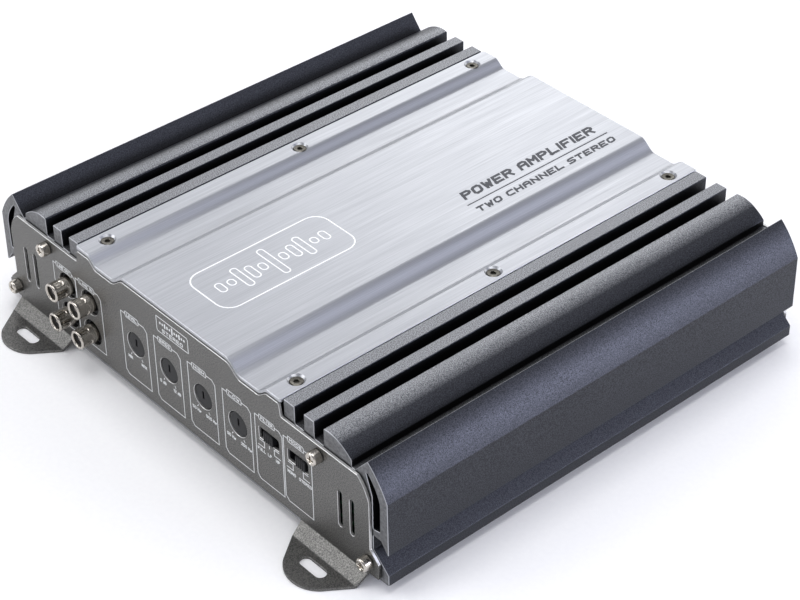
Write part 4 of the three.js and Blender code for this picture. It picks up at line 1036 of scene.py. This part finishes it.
def fuse_body():
    """Head and body of a fuse seen from its side: the head is wider and thicker."""
    head = box_outline(-8, 0, 3, 19, [0.3] * 4)
    body = rounded([(-6.48, -8.5, 0.3), (-5, -8.5, 0.6), (-4.6, -7.6, 0.6), (FUSE_SEAT, -7.6, 0.6),
                    (FUSE_SEAT, 7.6, 0.6), (-4.6, 7.6, 0.6), (-5, 8.5, 0.6), (-6.48, 8.5, 0.3)])
    return together([along_x(bar([head], -2.6, 2.6, 0.35)), along_x(bar([body], -2, 2, 0.2))])


def fuse_blades():
    """Two flat blades with tapered tips."""
    root, shoulder, tip = FUSE_SEAT - 0.6, 6.3, 7.5
    side = [(tip, 1.4, 0.3), (shoulder, BLADE_HALF, 0.3), (root, BLADE_HALF, 0)]
    outline = rounded([(u, -v, r) for u, v, r in side[::-1]] + side)
    blade = along_x(bar([outline], -0.4, 0.4, 0.1))
    return together([moved(blade, (0, 0, v)) for v in (-BLADE_OFFSET, BLADE_OFFSET)])


def upright(solid):
    """Turns print that reads across a face so that it reads up it."""
    points, faces = solid
    return points[:, [1, 0, 2]] * (-1, 1, 1), faces


holder = piece("fuse_holder_block", at_end(fuse_holder(), 1), moulding)
stand_for(holder, "amplifier", "black_plastic", "fuse_holder")
for i in (1, 2):
    node = f"blade_fuse_{i}"
    x, _, z = middle(node)
    body = piece(f"fuse_body_{i}", at_end(fuse_body(), 1, x, z), amber)
    stand_for(body, node, "amber_plastic", node)
    blades = piece(f"fuse_blades_{i}", at_end(fuse_blades(), 1, x, z), nickel)
    stand_for(blades, node, "nickel")
    rating = moved(along_y(upright(printed(lettering("25", 0, 0, 2.8, 0.45)))), (0, -9.5, 0))
    mark = piece(f"fuse_rating_{i}", at_end(rating, 1, x, z), white_ink)
    stand_for(mark, node, "print_ink")

# ---- Status light --------------------------------------------------------------------------------
# A round light of tinted epoxy that looks out of the rear panel, on two tinned legs that run down to
# the board.

# Cast epoxy, tinted green: glossy, cloudy and half clear.
green, tree, place = finish("green_tinted_cast_epoxy")
depth_tone = add(tree, "TexNoise", {"Vector": place, "Scale": 1 / (3 * MM)})
colour = add(tree, "Mix", {0: depth_tone, 6: linear("#1f8f43"), 7: linear("#54c772")}, data_type="RGBA")
rough = add(tree, "MapRange", {"Value": depth_tone, "To Min": 0.08, "To Max": 0.18})
shader = add(tree, "BsdfPrincipled", {"Base Color": colour, "Roughness": rough, "IOR": 1.54,
                                      "Transmission Weight": 0.5})
add(tree, "OutputMaterial", {"Surface": shader})


def light_lens():
    """Domed lens: a flattened half round on a short barrel with a flange behind the panel."""
    rise = np.linspace(0, math.pi / 2, 9)[1:]
    dome = [(LED * math.sin(a), 0.2 - 1.4 * math.cos(a)) for a in rise]
    back = SHEET + 1.4
    flange = [(LED + 0.4, SHEET + GAP), (LED + 0.4, back), (0, back)]
    return along_y(turned([(0, -1.2), *dome, (LED, SHEET + GAP), *flange]))


def light_legs():
    """Two legs, each a strip that runs back and then down, seen from the side."""
    low = corners("status_light")[0][2] - BASE - LED_Z
    path = stroke([(SHEET + 1.3, 0), (SHEET + 3.7, 0), (SHEET + 3.7, low)], 0.5)
    leg = along_x(bar([path], -0.25, 0.25, 0.05))
    return together([moved(leg, (x, 0, 0)) for x in (-1.27, 1.27)])


lens = piece("status_light_lens", at_end(light_lens(), 1, LED_X, LED_Z + BASE), green)
stand_for(lens, "amplifier", "green_lens", "status_light")
legs = piece("status_light_legs", at_end(light_legs(), 1, LED_X, LED_Z + BASE), nickel)
stand_for(legs, "amplifier", "nickel")

# ---- Printed marks on the end panels -------------------------------------------------------------
# White screen printing: a frame with a title box round each control, the ends of each range, and the
# names of the terminals. The words are plain ones that any such amplifier has.

FRAME_LOW, FRAME_HIGH = 6, 36.6
SOCKET_FRAME_HIGH = 35
WORD_DROP = 8.2                 # from a control's middle down to the middle of its words
# Half width of a frame, and its title box's left end from the control's middle and width.
POT_FRAME, POT_TITLE = 8.4, (-5.6, 8.6)
SWITCH_FRAME, SWITCH_TITLE = 7.9, (-5.4, 9)
SOCKET_TITLE = (-6.6, 10.6)
TERMINAL_FRAME = (5.6, 38.4)    # lowest and highest line
WAY_WORDS = 34.4                # height of the words over a strip's ways
PEN, FINE_PEN = 0.36, 0.3
TITLE = (2.5, 1.45)             # height of a title's box and of its letters
TITLE_CORNERS = [0.9, 0.2, 0.9, 0.2]    # radii
SMALL = 1.5                     # height of the other letters
CUT = 1.8                       # corners cut off a frame


def titled_frame(left, right, low, high, title, box_left, box_width):
    """A frame with two cut corners whose top line opens at the title's box."""
    box_right = box_left + box_width
    path = [(box_left, high), (left, high), (left, low + CUT), (left + CUT, low), (right, low),
            (right, high - CUT), (right - CUT, high), (box_right, high)]
    centre = (box_left + box_right) / 2
    title_box = box_outline(centre, high, box_width, TITLE[0], TITLE_CORNERS)
    words = lettering(title, centre, high, TITLE[1], FINE_PEN, box_width - 2)
    return [stroke(path[::-1], PEN), *ringed(title_box, FINE_PEN), *words]


def sound_bars(u, v, pitch, width, tall, count):
    """Outlines of a row of bars whose heights rise and fall as a sound wave's do: tall times the cosine
    of half the way out, times 0.55 + 0.45 cos(2.3 i)."""
    steps = np.arange(count) - (count - 1) / 2
    heights = tall * np.cos(steps / count * math.pi * 0.8) * (0.55 + 0.45 * np.cos(2.3 * steps))
    heights = np.maximum(heights, width * 1.3)
    return [box_outline(u + pitch * i, v, width, h, [width / 2 - 0.01] * 4) for i, h in zip(steps, heights)]


front_marks = []
POT_WORDS = [("LEVEL", "MIN", "MAX"), ("BASS", "0 dB", "12 dB"), ("HIGH", "50 Hz", "500 Hz"),
             ("LOW", "50 Hz", "250 Hz")]
for node, (title, least, most) in zip(POTS, POT_WORDS):
    x, _, z = middle(node) - (0, 0, BASE)
    front_marks += titled_frame(x - POT_FRAME, x + POT_FRAME, FRAME_LOW, FRAME_HIGH, title,
                                x + POT_TITLE[0], POT_TITLE[1])
    for way, word in ((-1, least), (1, most)):
        out = np.array([way * 0.5, -0.87])
        front_marks.append(stroke([(x, z) + out * 6.6, (x, z) + out * 7.5], PEN))
        front_marks += lettering(word, x + way * 4.5, z - WORD_DROP, SMALL, FINE_PEN)
SWITCH_WORDS = [("FILTER", ["FULL", "LP", "HP"]), ("MODE", ["MONO", "STEREO"])]
for name, (title, places) in zip(SWITCHES, SWITCH_WORDS):
    x = middle(name + "_case")[0]
    z = middle(name + "_knob")[2] - BASE
    front_marks += titled_frame(x - SWITCH_FRAME, x + SWITCH_FRAME, FRAME_LOW, FRAME_HIGH, title,
                                x + SWITCH_TITLE[0], SWITCH_TITLE[1])
    for way in (-1, 1):
        lead = [(5.6, -3.5), (2.9, -3.5), (2.9, -6.3), (6.4, -6.3)]
        front_marks.append(stroke([(x + way * a, z + b) for a, b in lead], PEN))
    if len(places) == 3:
        front_marks.append(stroke([(x, z - 3.6), (x, z - 4.8)], PEN))
    for share, word in zip(np.linspace(-1, 1, len(places)), places):
        reach = 4.7 if len(places) == 3 else 3.9
        front_marks += lettering(word, x + share * reach, z - WORD_DROP, SMALL, FINE_PEN)
for node, title, left, right in ((SLEEVES[0], "LINE OUT", -8.8, 6.3), (SLEEVES[2], "LINE IN", -8.8, 8.3)):
    x = middle(node)[0]
    front_marks += titled_frame(x + left, x + right, FRAME_LOW, SOCKET_FRAME_HIGH, title,
                                x + SOCKET_TITLE[0], SOCKET_TITLE[1])
BADGE = (-1.1, 44.5, 19.6, 7)   # middle and size of the badge's box
front_marks += ringed(box_outline(*BADGE, TITLE_CORNERS), PEN)
front_marks += sound_bars(BADGE[0], BADGE[1] + 1.1, 1.5, 0.9, 3.4, 11)
front_marks += lettering("STEREO", BADGE[0], BADGE[1] - 1.9, 1.7, PEN, 13)
front_print = piece("front_panel_print", at_end(along_y(printed(front_marks)), -1), white_ink)
stand_for(front_print, "amplifier", "print_ink")

rear_marks = []
TERMINAL_WORDS = {"power_terminal": ("POWER", 11, ["GND", "REM", "+12V"]),
                  "speaker_terminal": ("SPEAKERS", 16, ["L+", "L-", "R+", "R-"])}
for name, (title, title_width, words) in TERMINAL_WORDS.items():
    ways, pitch, barrier = BLOCKS[name]
    x = -middle(name + "_block")[0]
    half = ways * pitch / 2 + 2.4
    rear_marks += titled_frame(x - half, x + half, *TERMINAL_FRAME, title, x - half + 3, title_width)
    for i, word in enumerate(words):
        rear_marks += lettering(word, x + (i - (ways - 1) / 2) * pitch, WAY_WORDS, SMALL, FINE_PEN)
rear_marks += lettering("FUSE 2 X 25 A", 0, 36, SMALL, FINE_PEN)
rear_marks += lettering("ON", -LED_X + 5.4, LED_Z, SMALL, FINE_PEN)
rear_print = piece("rear_panel_print", at_end(along_y(printed(rear_marks)), 1), white_ink)
stand_for(rear_print, "amplifier", "print_ink")

# ---- Top plate -----------------------------------------------------------------------------------
# Aluminium sheet, brushed lengthways and rolled to a crown between two valleys. It rests on the
# extrusion's two rails, under six countersunk screws.

# Brushed aluminium: long fine scratches along Y spread the light across X. The scratches are drawn
# 0.35 mm wide so that they show, and broader bands are where the belt pressed harder.
brushed, tree, place = finish("brushed_aluminium_sheet")
fine = add(tree, "Mapping", {"Vector": place, "Scale": (1 / (0.35 * MM), 1 / (30 * MM), 1 / (0.35 * MM))})
scratch = add(tree, "TexNoise", {"Vector": fine, "Scale": 1, "Detail": 3})
coarse = add(tree, "Mapping", {"Vector": place, "Scale": (1 / (2.2 * MM), 1 / (160 * MM), 1 / (2.2 * MM))})
band = add(tree, "TexNoise", {"Vector": coarse, "Scale": 1, "Detail": 2})
pressed = add(tree, "Math", {0: band, 1: 0.25}, operation="MULTIPLY")
both = add(tree, "Math", {0: scratch, 1: pressed}, operation="ADD")
tone = add(tree, "MapRange", {"Value": both, "From Min": 0.38, "From Max": 0.87})
colour = add(tree, "Mix", {0: tone, 6: linear("#a7a9ad"), 7: linear("#babcc0")}, data_type="RGBA")
rough = add(tree, "MapRange", {"Value": tone, "To Min": 0.38, "To Max": 0.32})
relief = add(tree, "Bump", {"Height": scratch, "Distance": 0.003 * MM, "Strength": 0.4})
sideways = add(tree, "Tangent", direction_type="UV_MAP", uv_map="across")
shader = add(tree, "BsdfPrincipled", {"Base Color": colour, "Metallic": 1, "Roughness": rough,
                                      "Normal": relief, "Anisotropic": 0.65, "Tangent": sideways})
add(tree, "OutputMaterial", {"Surface": shader})

PLATE_SCREWS = [middle(f"plate_screw_{i}") for i in range(1, 7)]
SCREW_HEAD = (corners("plate_screw_1")[1][0] - corners("plate_screw_1")[0][0]) / 2
COUNTERSINK_FOOT = 2.0          # radius at the plate's underside


def top_plate():
    """A flat punched sheet, its holes drawn in towards the underside, scored and bent to the crown."""
    reach = corners("top_plate")[1][1]
    outline = box_outline(0, 0, 2 * PLATE_HALF, 2 * reach, [0.8] * 4)
    holes = [ring(x, y, SCREW_HEAD + GAP) for x, y, _ in PLATE_SCREWS]
    points, faces = scored(bar([outline, *holes], -PLATE, 0, 0.18), 0, ramp_places())
    for x, y, _ in PLATE_SCREWS:
        away = points[:, :2] - (x, y)
        near = (np.hypot(*away.T) < SCREW_HEAD + GAP + 0.4) & (points[:, 2] < -PLATE / 2)
        points[near, :2] = (x, y) + away[near] * COUNTERSINK_FOOT / (SCREW_HEAD + GAP)
    points[:, 2] += crown(points[:, 0]) + BASE
    return points, faces


def map_flat(made):
    """A UV map that looks straight down, u along X, so that the tangent runs across the scratches."""
    mesh = made.data
    corner_points = np.zeros(len(mesh.loops), np.int32)
    mesh.loops.foreach_get("vertex_index", corner_points)
    places = np.zeros(len(mesh.vertices) * 3, np.float32)
    mesh.vertices.foreach_get("co", places)
    flat = places.reshape(-1, 3)[corner_points, :2]
    mesh.uv_layers.new(name="across").data.foreach_set("uv", flat.ravel())


plate = piece("brushed_top_plate", top_plate(), brushed)
map_flat(plate)
stand_for(plate, "amplifier", "brushed_aluminium", "top_plate")


def hexagon(flat):
    """Radius of a hexagon in each direction: half its width across flats over the cosine of the angle
    from the nearest flat's middle."""
    angle = np.linspace(0, 2 * math.pi, HEAD_SIDES, endpoint=False)
    return flat / np.cos((angle % (math.pi / 3)) - math.pi / 6)


# Blackened steel with an oily sheen, rubbed bright where the key has been.
blackened, tree, place = finish("blackened_steel_screw")
rub = add(tree, "TexNoise", {"Vector": place, "Scale": 1 / (0.9 * MM), "Detail": 2})
colour = add(tree, "Mix", {0: rub, 6: linear("#2c2b29"), 7: linear("#7a776f")}, data_type="RGBA")
rough = add(tree, "MapRange", {"Value": rub, "To Min": 0.4, "To Max": 0.22})
shader = add(tree, "BsdfPrincipled", {"Base Color": colour, "Metallic": 1, "Roughness": rough})
add(tree, "OutputMaterial", {"Surface": shader})

HEAD_RIM = SCREW_HEAD - 0.45    # the head sits deeper than the sheet's surface, within its cone


def plate_screw(length):
    """Hexagon socket, flat head and countersunk cone, down from half a millimetre under the surface."""
    socket = [(0, -1.5), (hexagon(0.95), -1.45), (hexagon(1.05), -0.75), (hexagon(1.2), -0.6)]
    head = [(HEAD_RIM - 0.25, -0.5), (HEAD_RIM, -0.62), (SHANK, -PLATE - 0.25)]
    shank = [(SHANK, -length + 0.8), (0.5, -length), (0, -length)]
    return turned(socket + head + shank, HEAD_SIDES)


for i, (x, y, _) in enumerate(PLATE_SCREWS, 1):
    low, high = corners(f"plate_screw_{i}")
    made = moved(plate_screw(high[2] - low[2] + GAP), (x, y, SHOULDER_Z + BASE))
    screw = piece(f"hexagon_socket_screw_{i}", made, blackened)
    stand_for(screw, "amplifier", "nickel", f"plate_screw_{i}")

# ---- Marks on the top plate ----------------------------------------------------------------------
# Near the front a plain sound-wave badge is cut into the metal with a diamond, as bright lines; at the
# back two lines of dark print say what the thing is. Both read along Y.

# A diamond cut lays bare clean metal, which scatters the light and looks almost white.
cut_line, tree, place = finish("diamond_cut_aluminium")
tool_mark = add(tree, "TexNoise", {"Vector": place, "Scale": 1 / (0.4 * MM)})
colour = add(tree, "Mix", {0: tool_mark, 6: linear("#e4e6e8"), 7: linear("#ffffff")}, data_type="RGBA")
rough = add(tree, "MapRange", {"Value": tool_mark, "To Min": 0.35, "To Max": 0.55})
shader = add(tree, "BsdfPrincipled", {"Base Color": colour, "Metallic": 0.25, "Roughness": rough})
add(tree, "OutputMaterial", {"Surface": shader})

# Dark grey pad-printing ink: matt, a touch uneven.
dark_ink, tree, place = finish("dark_grey_pad_printing_ink")
patchy = add(tree, "TexNoise", {"Vector": place, "Scale": 1 / (0.8 * MM)})
colour = add(tree, "Mix", {0: patchy, 6: linear("#2e3035"), 7: linear("#44464c")}, data_type="RGBA")
rough = add(tree, "MapRange", {"Value": patchy, "To Min": 0.45, "To Max": 0.6})
shader = add(tree, "BsdfPrincipled", {"Base Color": colour, "Roughness": rough})
add(tree, "OutputMaterial", {"Surface": shader})


def on_plate(outlines, x, y):
    """Lays marks on the plate's level middle with their middle at (x, y): they read along Y and their
    tops point to -X."""
    points, faces = printed(outlines)
    top = crown(0.0) + BASE
    return np.column_stack([x - points[:, 1], y + points[:, 0], top - points[:, 2]]), faces


ENGRAVING = 0.6                 # width of a cut line
PLATE_BADGE = (66.5, 27)
SLANT = 0.28                    # lean of the printed letters, as a share of their height
badge_lines = ringed(box_outline(0, 0, *PLATE_BADGE, [6.5] * 4), ENGRAVING)
for outline in sound_bars(0, 0, 5.1, 3, 19, 11):
    badge_lines += ringed(outline, ENGRAVING * 0.85)
badge = piece("engraved_badge", on_plate(badge_lines, -2.2, -59.2), cut_line)
stand_for(badge, "amplifier", "brushed_aluminium")

print_lines = [*lettering("POWER AMPLIFIER", 0, 5.9, 5.3, 1.3, 74, SLANT),
               stroke([(-39.3, 0), (39.3, 0)], 0.6),
               *lettering("TWO CHANNEL STEREO", 0, -4.9, 3.6, 0.95, 77.5, SLANT)]
plate_print = piece("top_plate_print", on_plate(print_lines, 20.7, 61), dark_ink)
stand_for(plate_print, "amplifier", "print_ink")

# ---- Studio --------------------------------------------------------------------------------------
# A white floor and large soft boxes. Two stand behind the amplifier on the left, so that the brushed
# plate grows brighter towards the back, and a low one on the right draws the highlight on the shell.

floor_mesh = bpy.data.meshes.new("floor")
FLOOR_HALF = 6.0                # metres
floor_corners = [(-FLOOR_HALF, -FLOOR_HALF, 0), (FLOOR_HALF, -FLOOR_HALF, 0), (FLOOR_HALF, FLOOR_HALF, 0),
                 (-FLOOR_HALF, FLOOR_HALF, 0)]
floor_mesh.from_pydata(floor_corners, [], [(0, 1, 2, 3)])
floor = bpy.data.objects.new("floor", floor_mesh)
bpy.context.scene.collection.objects.link(floor)

# Matt white paint on board, very slightly stippled by the roller.
paint, tree, place = finish("matt_white_painted_board")
stipple = add(tree, "TexNoise", {"Vector": place, "Scale": 1 / (2 * MM)})
colour = add(tree, "Mix", {0: stipple, 6: linear("#f4f4f5"), 7: linear("#fafafa")}, data_type="RGBA")
shader = add(tree, "BsdfPrincipled", {"Base Color": colour, "Roughness": 0.9, "Specular IOR Level": 0.1})
add(tree, "OutputMaterial", {"Surface": shader})
floor_mesh.materials.append(paint)

# Plain sRGB keeps the floor white and the coat dark.
bpy.context.scene.view_settings.view_transform = "Standard"

# The room is white low down and a dim lilac grey overhead.
world = bpy.data.worlds.new("studio")
world.use_nodes = True
bpy.context.scene.world = world
tree = world.node_tree
direction = add(tree, "TexCoord", output="Generated")
height = add(tree, "SeparateXYZ", {"Vector": direction}, output="Z")
upward = add(tree, "MapRange", {"Value": height, "From Min": 0.08, "From Max": 0.5})
room = add(tree, "Mix", {0: upward, 6: linear("#ffffff"), 7: linear("#a0a1ab")}, data_type="RGBA")
tree.links.new(room, tree.nodes["Background"].inputs["Color"])
tree.nodes["Background"].inputs["Strength"].default_value = 0.9


def soft_box(name, place, size, power, colour="#ffffff"):
    """A rectangular light at place, in metres, that faces the amplifier."""
    lamp = bpy.data.lights.new(name, "AREA")
    lamp.shape = "RECTANGLE"
    lamp.size, lamp.size_y = size
    lamp.energy = power
    lamp.color = linear(colour)[:3]
    held = bpy.data.objects.new(name, lamp)
    held.location = place
    held.rotation_euler = (Vector((0, 0, 0.03)) - Vector(place)).to_track_quat("-Z", "Y").to_euler()
    bpy.context.scene.collection.objects.link(held)


soft_box("over_box", (0, 0, 2.4), (1.6, 1.6), 30)
soft_box("back_box", (-0.55, 1.7, 1.05), (2.4, 1.1), 10)
soft_box("left_back_box", (-1.7, 1.1, 1.3), (1.4, 1.1), 6)
soft_box("right_back_box", (1.9, 1.15, 0.62), (1.3, 0.5), 36, "#cfd2e6")
soft_box("front_box", (-1.35, -1.7, 1.6), (1.5, 1.3), 20)
soft_box("right_front_box", (1.9, -0.9, 1.5), (1.4, 1.2), 7)

camera_data = bpy.data.cameras.new("camera")
camera_data.lens = 100.907
camera_data.sensor_width = 36
camera = bpy.data.objects.new("camera", camera_data)
camera.location = (0.55541, -0.47987, 0.56810)
look = Vector((0.02108, -0.01511, 0.0292)) - camera.location
ROLL = -0.01223                 # radians
turn = look.to_track_quat("-Z", "Y").to_matrix().to_4x4()
camera.rotation_euler = (turn @ Matrix.Rotation(ROLL, 4, "Z")).to_euler()
bpy.context.scene.collection.objects.link(camera)
bpy.context.scene.camera = camera
